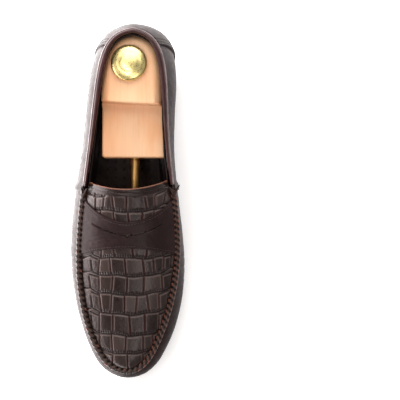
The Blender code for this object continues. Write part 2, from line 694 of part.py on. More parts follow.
def build_guide_pin(number, y, z, shoe, main, wing):
    """A pin across the split, loose in both halves, with its spring round it."""
    radius, bore = 2.4, 2.8
    wing_end, main_end, room = -18.0, 5.0, 1.0
    cut(main, round_cutter(f"pin_seat_{number}", bore, (SPLIT_X, y, z), (main_end + room, y, z), 12))
    cut(wing, round_cutter(f"pin_slide_{number}", bore, (SPLIT_X, y, z), (wing_end - 5.5, y, z), 12))
    pin = [(0, wing_end), (radius, wing_end), (radius, main_end), (0, main_end)]
    add_turned(f"tree_guide_pin_{number}", pin, (0, y, z), STEEL, shoe, "X", 10)
    start = (SPLIT_X - SPLIT_GAP / 2 + room / 2, y, z)
    coil = helix(3.6, 0.35, start, SPLIT_GAP - room, 3, "X")
    add_tube(f"tree_side_spring_{number}", coil, STEEL, shoe)


def helix(radius, wire, start, length, turns, axis, per_turn=8, sides=4):
    """Rings of a coil spring's wire, along X or Y from start."""
    turn = np.linspace(0, turns * 2 * np.pi, turns * per_turn + 1)
    run = np.linspace(wire, length - wire, len(turn))
    round_ = np.arange(sides) * 2 * np.pi / sides
    reach = radius + wire * np.cos(round_)[None, :]
    advance = run[:, None] + wire * np.sin(round_)[None, :]
    across, other = reach * np.cos(turn)[:, None], reach * np.sin(turn)[:, None]
    coil = np.stack([advance, across, other] if axis == "X" else [across, advance, other], -1)
    return coil + np.array(start, float)


def build_front_tube(shoe):
    """The closed tube in the forepart, its collar, and the spring that pushes the rear tube out."""
    cap, room = 1.5, 0.4
    outer, inner = FRONT_TUBE_RADIUS, FRONT_TUBE_RADIUS - TUBE_WALL + 0.05
    front, rear = FRONT_TUBE_FRONT_Y, FRONT_TUBE_REAR_Y
    tube = [
        (inner, front + cap), (inner, rear), (outer, rear), (outer, front), (0, front), (0, front + cap),
    ]
    add_turned("tree_front_tube", tube, on_tree_axis(0), BRASS, shoe, "Y")
    start = front + cap + room
    coil = helix(3.4, 0.5, on_tree_axis(start), REAR_TUBE_FRONT_Y - room - start, 9, "Y")
    add_tube("tree_spring", coil, STEEL, shoe)
    bore, rim = outer + 0.3, 7.6
    collar = [(bore, -7.6), (rim, -7.6), (rim, -5.8), (bore, -5.8)]
    add_turned("tree_front_collar", collar, on_tree_axis(0), BRASS, shoe, "Y")


def build():
    for leftover in list(bpy.data.objects):
        bpy.data.objects.remove(leftover)
    shoe = empty("moccasin", (0, 0, 0))
    heel_slider = empty("heel_block_slide", (TREE_AXIS_X, BLOCK_FRONT_Y, TREE_AXIS_Z))
    wing_slider = empty("forepart_wing_slide", (SPLIT_X, -52, 25))
    for slider in (heel_slider, wing_slider):
        slider.parent = shoe
    build_bottom(shoe)
    build_quarters(shoe)
    build_front(shoe)
    apron_layer("apron", APRON_EDGE, -UPPER_LEATHER, 0.0, LEATHER, shoe)
    near = -(UPPER_LEATHER + LAYER_GAP)
    apron_layer("apron_lining", 4.2, near - LINING_LEATHER, near, LINING, shoe, first=APRON_REAR + 0.002)
    build_strap(shoe)
    build_seam(shoe)
    build_binding(shoe)
    build_heel_block(heel_slider)
    build_knob(heel_slider)
    build_rear_tube(heel_slider)
    build_forepart(shoe, wing_slider)
    build_front_tube(shoe)


build()
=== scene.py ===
"""The looks of the moccasin and its shoe tree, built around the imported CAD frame.

Lengths are in millimetres until a mesh is made. The wall, apron and seam repeat the surfaces that the
solids were made from, so that fine leather, embossing and stitches lie where the solids are.
A station `a` is 0 at the heel and 1 at the toe; a side is -1 lateral or 1 medial; a wall level `v` is
-1 at the feather line, 0 at the widest line and 1 at the top edge; `q` crosses the apron from -1 to 1.
"""

import math

import bmesh
import bpy
import numpy as np
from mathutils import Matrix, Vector


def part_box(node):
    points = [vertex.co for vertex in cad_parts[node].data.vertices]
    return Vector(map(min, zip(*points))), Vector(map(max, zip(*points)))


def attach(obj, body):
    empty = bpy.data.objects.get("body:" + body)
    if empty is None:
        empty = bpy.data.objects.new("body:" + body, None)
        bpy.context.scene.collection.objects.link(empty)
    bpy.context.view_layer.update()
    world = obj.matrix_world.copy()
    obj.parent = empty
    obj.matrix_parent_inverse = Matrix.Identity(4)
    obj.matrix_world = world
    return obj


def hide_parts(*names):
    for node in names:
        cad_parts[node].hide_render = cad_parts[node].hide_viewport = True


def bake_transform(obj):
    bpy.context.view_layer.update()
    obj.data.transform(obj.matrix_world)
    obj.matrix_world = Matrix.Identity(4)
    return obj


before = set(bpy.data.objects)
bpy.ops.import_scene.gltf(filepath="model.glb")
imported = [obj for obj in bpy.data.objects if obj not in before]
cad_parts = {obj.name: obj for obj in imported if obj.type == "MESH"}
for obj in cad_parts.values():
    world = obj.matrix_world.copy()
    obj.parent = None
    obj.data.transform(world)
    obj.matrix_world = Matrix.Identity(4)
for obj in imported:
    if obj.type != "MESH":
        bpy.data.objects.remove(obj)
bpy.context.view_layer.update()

MM = 0.001
LATERAL, MEDIAL = -1.0, 1.0
TOE_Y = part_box("vamp_wall")[0].y / MM
HEEL_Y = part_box("quarter_medial")[1].y / MM
LENGTH = HEEL_Y - TOE_Y
GAP, LAYER_GAP = 0.35, 0.55
UPPER_LEATHER, LINING_LEATHER = 1.3, 0.9
STIFFENER, INSOLE_BOARD, SOCK, OUTSOLE = 1.3, 1.8, 2.3, 4.5
CORE_Y, CORE_Z = (-110.0, 110.0), 25.0
VAMP_REAR, APRON_REAR, APRON_TOE = 0.468, 0.457, 0.985
STITCH_PITCH = 4.7
HEEL_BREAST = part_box("heel_top_piece")[0].y / MM
RNG = np.random.default_rng(7)


# ---- the surfaces of the shoe ----
def spline(*knots):
    """A natural cubic spline through (position, value) knots."""
    x, y = np.array(knots, float).T
    step = np.diff(x)
    count = len(x)
    system, right = np.eye(count), np.zeros(count)
    for i in range(1, count - 1):
        system[i, i - 1 : i + 2] = step[i - 1], 2 * (step[i - 1] + step[i]), step[i]
        right[i] = 6 * ((y[i + 1] - y[i]) / step[i] - (y[i] - y[i - 1]) / step[i - 1])
    bend = np.linalg.solve(system, right)

    def value(at):
        at = np.clip(at, x[0], x[-1])
        i = np.clip(np.searchsorted(x, at) - 1, 0, count - 2)
        left = (x[i + 1] - at) / step[i]
        rest = 1 - left
        curved = (left**3 - left) * bend[i] + (rest**3 - rest) * bend[i + 1]
        return left * y[i] + rest * y[i + 1] + curved * step[i] ** 2 / 6

    return value


half_width = spline((0, 0), (0.1, 21.5), (0.2, 33.5), (0.4, 38.5), (0.6, 47.7), (0.8, 33.5), (0.9, 19.5),
    (1, 0))
centre_x = spline((0, 7.5), (0.2, 6.7), (0.4, 1.0), (0.5, -0.5), (0.7, 1.0), (0.85, 0.5), (1, 1.0))
top_z = spline(
    (0, 72), (0.2, 70), (0.3, 64.5), (0.4, 60), (0.5, 56.5), (0.6, 45.5), (0.7, 38), (0.8, 35), (1, 34.5)
)
top_lean = {
    LATERAL: spline((0, 6.8), (0.25, 9.6), (0.4, 9.0), (0.55, 9.9), (0.7, 7.0), (0.85, 7.0), (1, 6.8)),
    MEDIAL: spline((0, 6.8), (0.15, 10.2), (0.3, 7.2), (0.5, 3.0), (0.7, 8.7), (0.9, 8.2), (1, 6.8)),
}
widest_z = spline((0, 42), (0.2, 40), (0.35, 34), (0.5, 28), (0.65, 22), (0.8, 22), (1, 25))
foot_inset = spline((0, 6.5), (0.2, 7), (0.35, 10.5), (0.5, 10.5), (0.65, 7), (0.8, 7), (1, 8))
crown_z = spline((0.45, 78), (0.5, 73), (0.6, 59.5), (0.7, 50), (0.8, 44.5), (0.9, 40), (1, 34.5))
row_bow = spline((0.45, 6.8), (0.55, 5), (0.7, 2), (0.8, 0), (1, 0))
roll_half = spline((0, 2.1), (0.1, 2.3), (0.2, 2.75), (0.3, 2.5), (0.4, 1.9), (0.47, 1.5))
outsole_top = spline(
    (0, 19.5), (0.2, 19.2), (0.35, 14.6), (0.5, 7.8), (0.6, 4.7), (0.66, 4.3), (0.76, 4.3), (0.86, 6.3),
    (1, 12.6),
)


def seat_z(y):
    return outsole_top((HEEL_Y - y) / LENGTH)


def outline(side, a):
    return centre_x(a) + side * half_width(a), HEEL_Y - LENGTH * (1 - np.cos(np.pi * a)) / 2


def station_at(y):
    return np.arccos(np.clip(1 - 2 * (HEEL_Y - y) / LENGTH, -1, 1)) / np.pi


def along(side, a, step):
    b = a + step
    side = np.where((b < 0) | (b > 1), -side, side)
    b = np.where(b < 0, -b, np.where(b > 1, 2 - b, b))
    return outline(side, b)


def plan_normal(side, a):
    step = 1e-4
    x0, y0 = along(side, a, -step)
    x1, y1 = along(side, a, step)
    nx, ny = -side * (y1 - y0), side * (x1 - x0)
    size = np.hypot(nx, ny)
    return nx / size, ny / size


def lean(side, a):
    return np.where(side < 0, top_lean[LATERAL](a), top_lean[MEDIAL](a))


def offset_outline(side, a, out):
    x, y = outline(side, a)
    nx, ny = plan_normal(side, a)
    return x + nx * out, y + ny * out


def wall(side, a, v):
    """Outer face of the upper's wall at level v."""
    side, a, v = np.broadcast_arrays(*np.atleast_1d(side, a, v))
    turn = np.clip(v + 1, 0, 1) * np.pi / 2
    up = np.clip(v, 0, None)
    out = -foot_inset(a) * (1 - np.sin(turn)) - lean(side, a) * up**2 + np.minimum(v + 1, 0) * 12
    x, y = offset_outline(side, a, out)
    foot = seat_z(y) + GAP
    rise = (widest_z(a) - foot) * (1 - np.cos(turn)) + (top_z(a) - widest_z(a)) * up
    return np.stack([x, y, foot + rise], -1)


def apron(a, q, edge=0.0):
    """Outer face of the apron, whose sides lie `edge` inside the seam line."""
    a, q, edge = np.broadcast_arrays(*np.atleast_1d(a, q, edge))
    tongue = np.clip((0.5 - a) / 0.04, 0, 1)
    inset = edge + 1.6 * tongue**1.5
    xl, yl = offset_outline(LATERAL, a, -lean(LATERAL, a) - inset)
    xm, ym = offset_outline(MEDIAL, a, -lean(MEDIAL, a) - inset)
    share = (q + 1) / 2
    arch = 1 - np.abs(q) ** 2.2
    x = xl + (xm - xl) * share
    y = yl + (ym - yl) * share - row_bow(a) * (1 - q**2)
    z = top_z(a) + 2.0 * tongue + (crown_z(a) - top_z(a)) * arch
    return np.stack([x, y, z], -1)


def pushed(surface, first, second, out, steps=(1e-3, 1e-3)):
    """Points of surface(first, second), moved `out` along the normal that points away from the inside."""
    first, second = np.broadcast_arrays(*np.atleast_1d(first, second))
    du = surface(first + steps[0], second) - surface(first - steps[0], second)
    dv = surface(first, second + steps[1]) - surface(first, second - steps[1])
    points = surface(first, second)
    normal = np.cross(du, dv)
    normal /= np.maximum(np.linalg.norm(normal, axis=-1, keepdims=True), 1e-12)
    core = np.stack([0 * points[..., 0], np.clip(points[..., 1], *CORE_Y), 0 * points[..., 0] + CORE_Z], -1)
    facing = np.sign(((points - core) * normal).sum(-1).mean())
    return points + facing * normal * np.asarray(out)[..., None]


def running_wall(p, v):
    """The wall by a running station: p is 0 at the heel and -1 or 1 at the toe."""
    p = (np.asarray(p, float) + 1) % 2 - 1
    return wall(np.where(p < 0, LATERAL, MEDIAL), np.abs(p), v)


def front_wall(p, v):
    """The wall by a running station that is 0 at the toe tip."""
    p = np.asarray(p, float)
    return wall(np.where(p < 0, LATERAL, MEDIAL), 1 - np.abs(p), v)


def seam_line(p):
    """The seam and its outward plan normal, by a station that is 0 at the toe tip."""
    side = np.where(p < 0, LATERAL, MEDIAL)
    a = 1 - np.abs(p)
    x, y = offset_outline(side, a, -lean(side, a))
    nx, ny = plan_normal(side, a)
    return np.stack([x, y, top_z(a)], -1), np.stack([nx, ny, 0 * nx], -1)


SEAM_REACH = 1 - VAMP_REAR - 0.003
SEAM_P = np.linspace(-SEAM_REACH, SEAM_REACH, 3001)
SEAM_RUN = np.concatenate([[0], np.cumsum(np.linalg.norm(np.diff(seam_line(SEAM_P)[0], axis=0), axis=1))])


def seam_phase(p):
    """The stitch's phase at a front running station: whole turns are stitches."""
    return 2 * np.pi * np.interp(p, SEAM_P, SEAM_RUN) / STITCH_PITCH


# ---- meshes ----
def mesh_object(name, points, faces, look, body="shoe", attributes=None, sharp=40):
    points = np.asarray(points, float).reshape(-1, 3) * MM
    work = bmesh.new()
    layers = {key: work.verts.layers.float.new(key) for key in attributes or {}}
    corners = [work.verts.new(p) for p in points]
    for key, values in (attributes or {}).items():
        for corner, value in zip(corners, np.asarray(values, float).reshape(-1)):
            corner[layers[key]] = value
    for face in faces:
        work.faces.new([corners[i] for i in face])
    bmesh.ops.remove_doubles(work, verts=work.verts, dist=1e-6)
    bmesh.ops.delete(work, geom=[v for v in work.verts if not v.link_faces], context="VERTS")
    bmesh.ops.recalc_face_normals(work, faces=work.faces)
    mesh = bpy.data.meshes.new(name)
    work.to_mesh(mesh)
    work.free()
    mesh.shade_smooth()
    mesh.set_sharp_from_angle(angle=math.radians(sharp))
    mesh.materials.append(look)
    made = bpy.data.objects.new(name, mesh)
    bpy.context.scene.collection.objects.link(made)
    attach(made, body)
    return made


def finish_piece(made, slot, *nodes):
    if nodes:
        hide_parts(*nodes)
    return made


def bevel(made, width, segments=3, angle=35):
    step = made.modifiers.new("soft_edges", "BEVEL")
    step.width = width * MM
    step.segments = segments
    step.limit_method = "ANGLE"
    step.angle_limit = math.radians(angle)
    return made


def slab_faces(rows, columns, stride, keep=None):
    """Faces of a closed sheet: a fine outer grid, and an inner one with every stride-th point."""
    keep = np.ones((rows - 1, columns - 1), bool) if keep is None else keep
    fine = np.arange(rows * columns).reshape(rows, columns)
    few_rows, few_columns = (rows - 1) // stride + 1, (columns - 1) // stride + 1
    few = rows * columns + np.arange(few_rows * few_columns).reshape(few_rows, few_columns)
    faces = [[fine[i, j], fine[i + 1, j], fine[i + 1, j + 1], fine[i, j + 1]] for i, j in np.argwhere(keep)]
    coarse = keep[::stride, ::stride]
    for i, j in np.argwhere(coarse):
        faces.append([few[i, j], few[i, j + 1], few[i + 1, j + 1], few[i + 1, j]])
        block = fine[i * stride : (i + 1) * stride + 1, j * stride : (j + 1) * stride + 1]
        sides = (
            (i == 0 or not coarse[i - 1, j], block[0], few[i, j], few[i, j + 1]),
            (i == few_rows - 2 or not coarse[min(i + 1, few_rows - 2), j], block[-1], few[i + 1, j],
                few[i + 1, j + 1]),
            (j == 0 or not coarse[i, j - 1], block[:, 0], few[i, j], few[i + 1, j]),
            (j == few_columns - 2 or not coarse[i, min(j + 1, few_columns - 2)], block[:, -1],
                few[i, j + 1], few[i + 1, j + 1]),
        )
        for outer_edge, run, start, end in sides:
            if outer_edge:
                faces.append([*run, end, start])
    return faces


def slab(name, outer, inner, look, stride=1, body="shoe", attributes=None, keep=None, sharp=40):
    """A closed sheet of leather between a fine outer grid and an inner grid of every stride-th point."""
    rows, columns = outer.shape[:2]
    points = np.concatenate([outer.reshape(-1, 3), inner.reshape(-1, 3)])
    full = {}
    for key, grid in (attributes or {}).items():
        full[key] = np.concatenate([grid.reshape(-1), grid[::stride, ::stride].reshape(-1)])
    return mesh_object(name, points, slab_faces(rows, columns, stride, keep), look, body, full, sharp)


def edge_round(distance, radius):
    """How far a rounded edge falls below the face, at a distance in from it."""
    t = np.clip(1 - distance / radius, 0, 1)
    return radius * (1 - np.sqrt(1 - t**2))


def tube_faces(rings, sides, first=0, closed=False):
    faces = []
    for i in range(rings if closed else rings - 1):
        for j in range(sides):
            here, there = first + i * sides, first + (i + 1) % rings * sides
            k = (j + 1) % sides
            faces.append([here + j, here + k, there + k, there + j])
    if not closed:
        faces.append([first + j for j in range(sides)])
        faces.append([first + (rings - 1) * sides + j for j in reversed(range(sides))])
    return faces


def turned(name, profile, place, look, body, axis="Z", segments=96):
    angles = np.arange(segments) * 2 * np.pi / segments
    radius, height = np.array(profile, float).T
    points = np.stack(
        [np.outer(np.cos(angles), radius), np.outer(np.sin(angles), radius),
            np.tile(height, (segments, 1))], -1
    )
    if axis == "Y":
        points = points[..., [0, 2, 1]]
    points = points + np.array(place, float)
    return mesh_object(name, points, tube_faces(segments, len(profile), closed=True), look, body, sharp=50)


def sweep(centres, sides, radius):
    """Rings of a round tube along points, whose cross directions come from the tube's own bend."""
    centres = np.asarray(centres, float)
    way = np.gradient(centres, axis=0)
    way /= np.linalg.norm(way, axis=1, keepdims=True)
    helper = np.tile([0.0, 0.0, 1.0], (len(centres), 1))
    flat = np.abs(way[:, 2]) > 0.95
    helper[flat] = [1.0, 0.0, 0.0]
    across = np.cross(way, helper)
    across /= np.linalg.norm(across, axis=1, keepdims=True)
    other = np.cross(across, way)
    angle = np.arange(sides) * 2 * np.pi / sides
    radius = np.broadcast_to(radius, len(centres))[:, None, None]
    turn = np.cos(angle)[None, :, None] * across[:, None] + np.sin(angle)[None, :, None] * other[:, None]
    return centres[:, None] + radius * turn


def stitches(name, path, pitch, length, thickness, look, lift=0.12):
    """A row of machine stitches along a path of points, as one piece of separate short threads."""
    path = np.asarray(path, float)
    run = np.concatenate([[0], np.cumsum(np.linalg.norm(np.diff(path, axis=0), axis=1))])
    count = int(run[-1] // pitch)
    points, faces = [], []
    share = np.linspace(0, 1, 6)
    for k in range(count):
        at = (k + 0.5) * run[-1] / count + (share - 0.5) * length
        centre = np.stack([np.interp(at, run, path[:, i]) for i in range(3)], -1)
        rings = sweep(centre, 6, thickness / 2 * (0.45 + 0.55 * np.sin(np.pi * share)) )
        faces += tube_faces(6, 6, first=36 * k)
        points.append(rings.reshape(-1, 3))
    return finish_piece(mesh_object(name, np.concatenate(points), faces, look), "waxed_thread")


# ---- materials ----
def new_material(name, roughness=0.5, metallic=0.0, **shader_values):
    made = bpy.data.materials.new(name)
    made.use_nodes = True
    tree = made.node_tree
    shader = tree.nodes["Principled BSDF"]
    shader.inputs["Roughness"].default_value = roughness
    shader.inputs["Metallic"].default_value = metallic
    for key, value in shader_values.items():
        shader.inputs[key.replace("_", " ")].default_value = value
    return made, tree, shader


def node(tree, kind, inputs=None, **settings):
    made = tree.nodes.new(kind)
    for key, value in settings.items():
        setattr(made, key, value)
    for key, value in (inputs or {}).items():
        if isinstance(value, bpy.types.NodeSocket):
            tree.links.new(value, made.inputs[key])
        else:
            made.inputs[key].default_value = value
    return made


def coordinates(tree, scale=(1, 1, 1), turn=(0, 0, 0)):
    place = node(tree, "ShaderNodeTexCoord")
    mapped = node(tree, "ShaderNodeMapping", {"Vector": place.outputs["Object"], "Scale": scale,
        "Rotation": turn})
    return mapped.outputs["Vector"]


def noise(tree, where, scale, detail=4.0, rough=0.55, distortion=0.0):
    made = node(
        tree, "ShaderNodeTexNoise",
        {"Vector": where, "Scale": scale, "Detail": detail, "Roughness": rough, "Distortion": distortion},
    )
    return made.outputs["Fac"]


def mix_colour(tree, factor, first, second, blend="MIX"):
    made = node(tree, "ShaderNodeMix", data_type="RGBA", blend_type=blend)
    for socket, value in ((made.inputs[0], factor), (made.inputs[6], first), (made.inputs[7], second)):
        if isinstance(value, bpy.types.NodeSocket):
            tree.links.new(value, socket)
        elif isinstance(value, tuple):
            socket.default_value = (*value, 1)
        else:
            socket.default_value = value
    return made.outputs[2]


def remap(tree, factor, low, high, start=0.0, end=1.0):
    made = node(
        tree, "ShaderNodeMapRange",
        {"Value": factor, "From Min": start, "From Max": end, "To Min": low, "To Max": high},
    )
    return made.outputs["Result"]


def bump(tree, shader, *layers):
    """Chains bump layers of (height socket, depth in mm) into the shader."""
    before = None
    for height, depth in layers:
        made = node(tree, "ShaderNodeBump", {"Height": height, "Strength": 1.0, "Distance": depth * MM})
        if before:
            tree.links.new(before, made.inputs["Normal"])
        before = made.outputs["Normal"]
    tree.links.new(before, shader.inputs["Normal"])


def leather(
    name, dark, light, roughness, grain=0.05, pore_mm=0.9, marks=(), coat=0.12, wrinkle=0.0, gloss=0.26
):
    """Finished leather: mottled colour and pores. Marks are (mesh attribute, colour, roughness) in turn; some
    of them paint shade or highlight into the colour.
    """
    made, tree, shader = new_material(
        name, roughness, 0.0, Coat_Weight=coat, Coat_Roughness=0.28, Specular_IOR_Level=gloss,
        Specular_Tint=(1.0, 0.86, 0.84, 1),
    )
    where = coordinates(tree)
    mottle = noise(tree, where, 60, 6, 0.6)
    colour = mix_colour(tree, remap(tree, mottle, 0, 1, 0.3, 0.7), dark, light)
    rough = remap(tree, noise(tree, where, 210, 3), roughness - 0.07, roughness + 0.12, 0.3, 0.7)
    for attribute, tint, dullness in marks:
        amount = node(tree, "ShaderNodeAttribute", attribute_name=attribute).outputs["Fac"]
        colour = mix_colour(tree, amount, colour, tint)
        rough = mix_colour(tree, amount, rough, (dullness, dullness, dullness))
    tree.links.new(colour, shader.inputs["Base Color"])
    tree.links.new(rough, shader.inputs["Roughness"])
    pebbles = node(tree, "ShaderNodeTexVoronoi", {"Vector": where, "Scale": 1000 / pore_mm}, feature="F1")
    layers = [(pebbles.outputs["Distance"], grain), (noise(tree, where, 900, 5), grain * 1.3)]
    if wrinkle:
        layers.append((noise(tree, coordinates(tree, (1, 2.2, 1.4)), 120, 4, 0.6, 0.6), wrinkle))
    bump(tree, shader, *layers)
    return made


def wood_material(name, pale, warm, streak, turn=(0.02, 0.03, 0.05)):
    """Planed soft-grained wood, whose grain runs along Y."""
    made, tree, shader = new_material(name, 0.46, 0.0, Coat_Weight=0.15, Coat_Roughness=0.35)
    fibres = noise(tree, coordinates(tree, (1, 0.035, 1), turn), 900, 4, 0.6)
    figure = noise(tree, coordinates(tree, (1, 0.10, 1), turn), 130, 5, 0.6, 0.6)
    blotch = noise(tree, coordinates(tree, (1, 0.6, 1)), 34, 3)
    apart = node(tree, "ShaderNodeSeparateXYZ", {"Vector": coordinates(tree)}).outputs["X"]
    colour = mix_colour(tree, remap(tree, apart, 0.75, 0.0, -0.022, 0.006), pale, warm)
    colour = mix_colour(tree, remap(tree, blotch, 0.0, 0.7, 0.48, 0.72), colour, warm)
    colour = mix_colour(tree, remap(tree, figure, 0.0, 0.30, 0.5, 0.75), colour, streak)
    colour = mix_colour(tree, remap(tree, fibres, 0.0, 0.22, 0.5, 0.75), colour, streak)
    tree.links.new(colour, shader.inputs["Base Color"])
    tree.links.new(remap(tree, fibres, 0.38, 0.58, 0.3, 0.7), shader.inputs["Roughness"])
    bump(tree, shader, (fibres, 0.05), (figure, 0.04))
    return made


def metal(name, colour, worn, roughness, scratch=900, along=(1, 1, 1)):
    made, tree, shader = new_material(name, roughness, 1.0)
    where = coordinates(tree, along)
    fine = noise(tree, where, scratch, 4, 0.6)
    patches = noise(tree, coordinates(tree), 150, 4)
    tint = mix_colour(tree, remap(tree, patches, 0.0, 0.5, 0.5, 0.75), colour, worn)
    tree.links.new(tint, shader.inputs["Base Color"])
    tree.links.new(remap(tree, fine, roughness * 0.7, roughness * 1.6, 0.3, 0.7), shader.inputs["Roughness"])
    bump(tree, shader, (fine, 0.004))
    return made


def plain_grained(name, dark, light, roughness, scale, depth, stretch=(1, 1, 1)):
    made, tree, shader = new_material(name, roughness)
    where = coordinates(tree, stretch)
    grain = noise(tree, where, scale, 6, 0.6)
    tree.links.new(mix_colour(tree, remap(tree, grain, 0, 1, 0.35, 0.65), dark, light),
        shader.inputs["Base Color"])
    tree.links.new(remap(tree, grain, roughness - 0.1, roughness + 0.1, 0.3, 0.7), shader.inputs["Roughness"])
    bump(tree, shader, (grain, depth))
    return made


# Painted shade: this colour darkens the smooth leather in the counter cover's sunken stitch lines.
PAINTED_CREASE_SHADE = (0.010, 0.005, 0.004)
SMOOTH = leather(
    "smooth_leather", (0.012, 0.0055, 0.0056), (0.023, 0.0105, 0.0108), 0.52, 0.035, 0.8,
    marks=(("crease_shade", PAINTED_CREASE_SHADE, 0.7),), wrinkle=0.10, gloss=0.12,
)
CROC = leather(
    "embossed_leather", (0.009, 0.0044, 0.0038), (0.019, 0.0105, 0.0088), 0.30, 0.03, 0.7,
    marks=(
        # The pale rim colour is a painted highlight along the tiles' raised rims.
        ("tone", (0.044, 0.029, 0.025), 0.32), ("rim_and_highlight", (0.13, 0.092, 0.082), 0.30),
        # The near-black groove colour is painted shade in the row grooves, the comb ticks and the band beside
        # them.
        ("red", (0.036, 0.0048, 0.0042), 0.65), ("recess_shade", (0.005, 0.0018, 0.0015), 0.8),
        ("edge", (0.21, 0.085, 0.05), 0.8),
    ),
    coat=0.2,
)
# The seam's pale colour is a painted highlight on the gathers' tops, and its near-black colour is painted
# shade in the stitch pits.
RIDGE = leather(
    "seam_leather", (0.010, 0.0048, 0.0038), (0.026, 0.0125, 0.0095), 0.42, 0.04, 0.6,
    marks=(("rim_and_highlight", (0.075, 0.040, 0.029), 0.38), ("recess_shade", (0.0030, 0.0012, 0.0010), 0.85)),
)
BINDING = leather("binding_leather", (0.022, 0.006, 0.0065), (0.052, 0.015, 0.015), 0.42, 0.03, 0.7,
    wrinkle=0.06)
# A light colour as a painted highlight along the quarters' rolled top edge.
BEAD_PAINTED_HIGHLIGHT = leather("bead_painted_highlight", (0.12, 0.08, 0.08), (0.26, 0.19, 0.19), 0.24, 0.02, 0.6, coat=0.6)
LINING = leather("lining_leather", (0.007, 0.005, 0.0045), (0.015, 0.010, 0.009), 0.60, 0.05, 0.6, coat=0.0)
THREAD = plain_grained("waxed_thread", (0.110, 0.026, 0.013), (0.240, 0.065, 0.030), 0.55, 2600, 0.05)
DARK_THREAD = plain_grained("dark_thread", (0.016, 0.009, 0.008), (0.034, 0.018, 0.016), 0.5, 2600, 0.05)
RUBBER = plain_grained("sole_rubber", (0.014, 0.011, 0.010), (0.026, 0.020, 0.018), 0.68, 1400, 0.08)
STACKED = plain_grained("stacked_leather", (0.028, 0.014, 0.009), (0.060, 0.030, 0.018), 0.48, 500, 0.12,
    (1, 1, 9))
BOARD = plain_grained("fibre_board", (0.26, 0.17, 0.10), (0.36, 0.26, 0.17), 0.85, 900, 0.08)
FOAM = plain_grained("padding_foam", (0.50, 0.46, 0.40), (0.62, 0.58, 0.52), 0.92, 1600, 0.1)
WOOD = wood_material("tree_wood", (0.98, 0.60, 0.35), (0.93, 0.41, 0.17), (0.70, 0.32, 0.14))
BRASS = metal("polished_brass", (1.0, 0.83, 0.36), (0.97, 0.74, 0.26), 0.30)
# Golden-brown brass, made darker still as painted shade for the tubes that lie in the shoe's shadow.
TUBE_BRASS_PAINTED_SHADE = metal("drawn_brass_painted_shade", (0.50, 0.28, 0.10), (0.32, 0.16, 0.05), 0.34, 700, (1, 0.05, 1))
STEEL = metal("spring_steel", (0.56, 0.56, 0.57), (0.46, 0.45, 0.44), 0.25)


# ---- camera, light and floor ----
CAMERA_HEIGHT = 1.0
CAMERA_PLACE = (0.0609, 0.0024, CAMERA_HEIGHT)
LENS_MM = 104.6
FLOOR_SIZE = 4.0
WORLD_LIGHT = 0.2
LATERAL_GLOW, HEEL_GLOW = (7.0, 0.30), (0.0, 1.8)  # the paper's own light, at both ends of each fade
SOFTBOXES = (  # name, place, size, radiance, colour
    ("overhead_softbox", (0.05, 0.85, 1.3), (1.5, 0.9), 2.5, (1.0, 0.99, 0.97)),
    ("window_softbox", (-0.23, -0.20, 1.15), (0.9, 0.13), 12.0, (1.0, 0.97, 0.94)),
    ("low_softbox", (-0.85, 0.1, 0.22), (1.4, 0.35), 7.0, (1.0, 0.93, 0.94)),
    ("heel_softbox", (0.1, 0.95, 0.45), (1.2, 0.5), 4.0, (1.0, 0.95, 0.95)),
    ("toe_softbox", (0.42, -0.85, 0.95), (0.6, 0.4), 3.4, (1.0, 0.97, 0.95)),
    ("medial_softbox", (0.95, -0.05, 0.5), (0.8, 0.35), 0.3, (1.0, 0.98, 0.97)),
)


def build_stage():
    camera = bpy.data.cameras.new("camera")
    camera.lens = LENS_MM
    camera.sensor_width = 36
    holder = bpy.data.objects.new("camera", camera)
    holder.location = CAMERA_PLACE
    bpy.context.scene.collection.objects.link(holder)
    bpy.context.scene.camera = holder
    floor_mesh = bpy.data.meshes.new("floor")
    half = FLOOR_SIZE / 2
    floor_mesh.from_pydata([(-half, -half, 0), (half, -half, 0), (half, half, 0), (-half, half, 0)], [],
        [(0, 1, 2, 3)])
    floor = bpy.data.objects.new("floor", floor_mesh)
    bpy.context.scene.collection.objects.link(floor)
    floor_mesh.materials.append(floor_paper())
    world = bpy.data.worlds.new("studio")
    world.use_nodes = True
    world.node_tree.nodes["Background"].inputs["Color"].default_value = (1.0, 0.985, 0.97, 1)
    world.node_tree.nodes["Background"].inputs["Strength"].default_value = WORLD_LIGHT
    bpy.context.scene.world = world
    bpy.context.scene.view_settings.view_transform = "Standard"
    for name, place, size, radiance, colour in SOFTBOXES:
        add_light(name, place, size, radiance, colour)


def floor_paper():
    """Pale paper that glows as painted light, more strongly on the lateral side and behind the heel."""
    made, tree, shader = new_material("floor_paper", 0.7)
    shader.inputs["Base Color"].default_value = (0.95, 0.948, 0.945, 1)
    shader.inputs["Emission Color"].default_value = (1, 0.985, 0.98, 1)
    apart = node(tree, "ShaderNodeSeparateXYZ", {"Vector": coordinates(tree)})
    # The glow is painted light, which also lights the shoe from the floor.
    lateral = remap(tree, apart.outputs["X"], *LATERAL_GLOW, -0.06, 0.0)
    behind = remap(tree, apart.outputs["Y"], *HEEL_GLOW, 0.10, 0.17)
    both = node(tree, "ShaderNodeMath", {0: lateral, 1: behind}, operation="ADD")
    tree.links.new(both.outputs[0], shader.inputs["Emission Strength"])
    return made


def add_light(name, place, size, radiance, colour):
    light = bpy.data.lights.new(name, "AREA")
    light.shape = "RECTANGLE"
    light.size, light.size_y = size
    light.energy = radiance * math.pi * size[0] * size[1]
    light.color = colour
    made = bpy.data.objects.new(name, light)
    made.location = place
    made.visible_camera = False
    way = np.array((0.0, 0.0, 0.04)) - np.array(place)
    made.rotation_euler = Vector(way).to_track_quat("-Z", "Y").to_euler()
    bpy.context.scene.collection.objects.link(made)


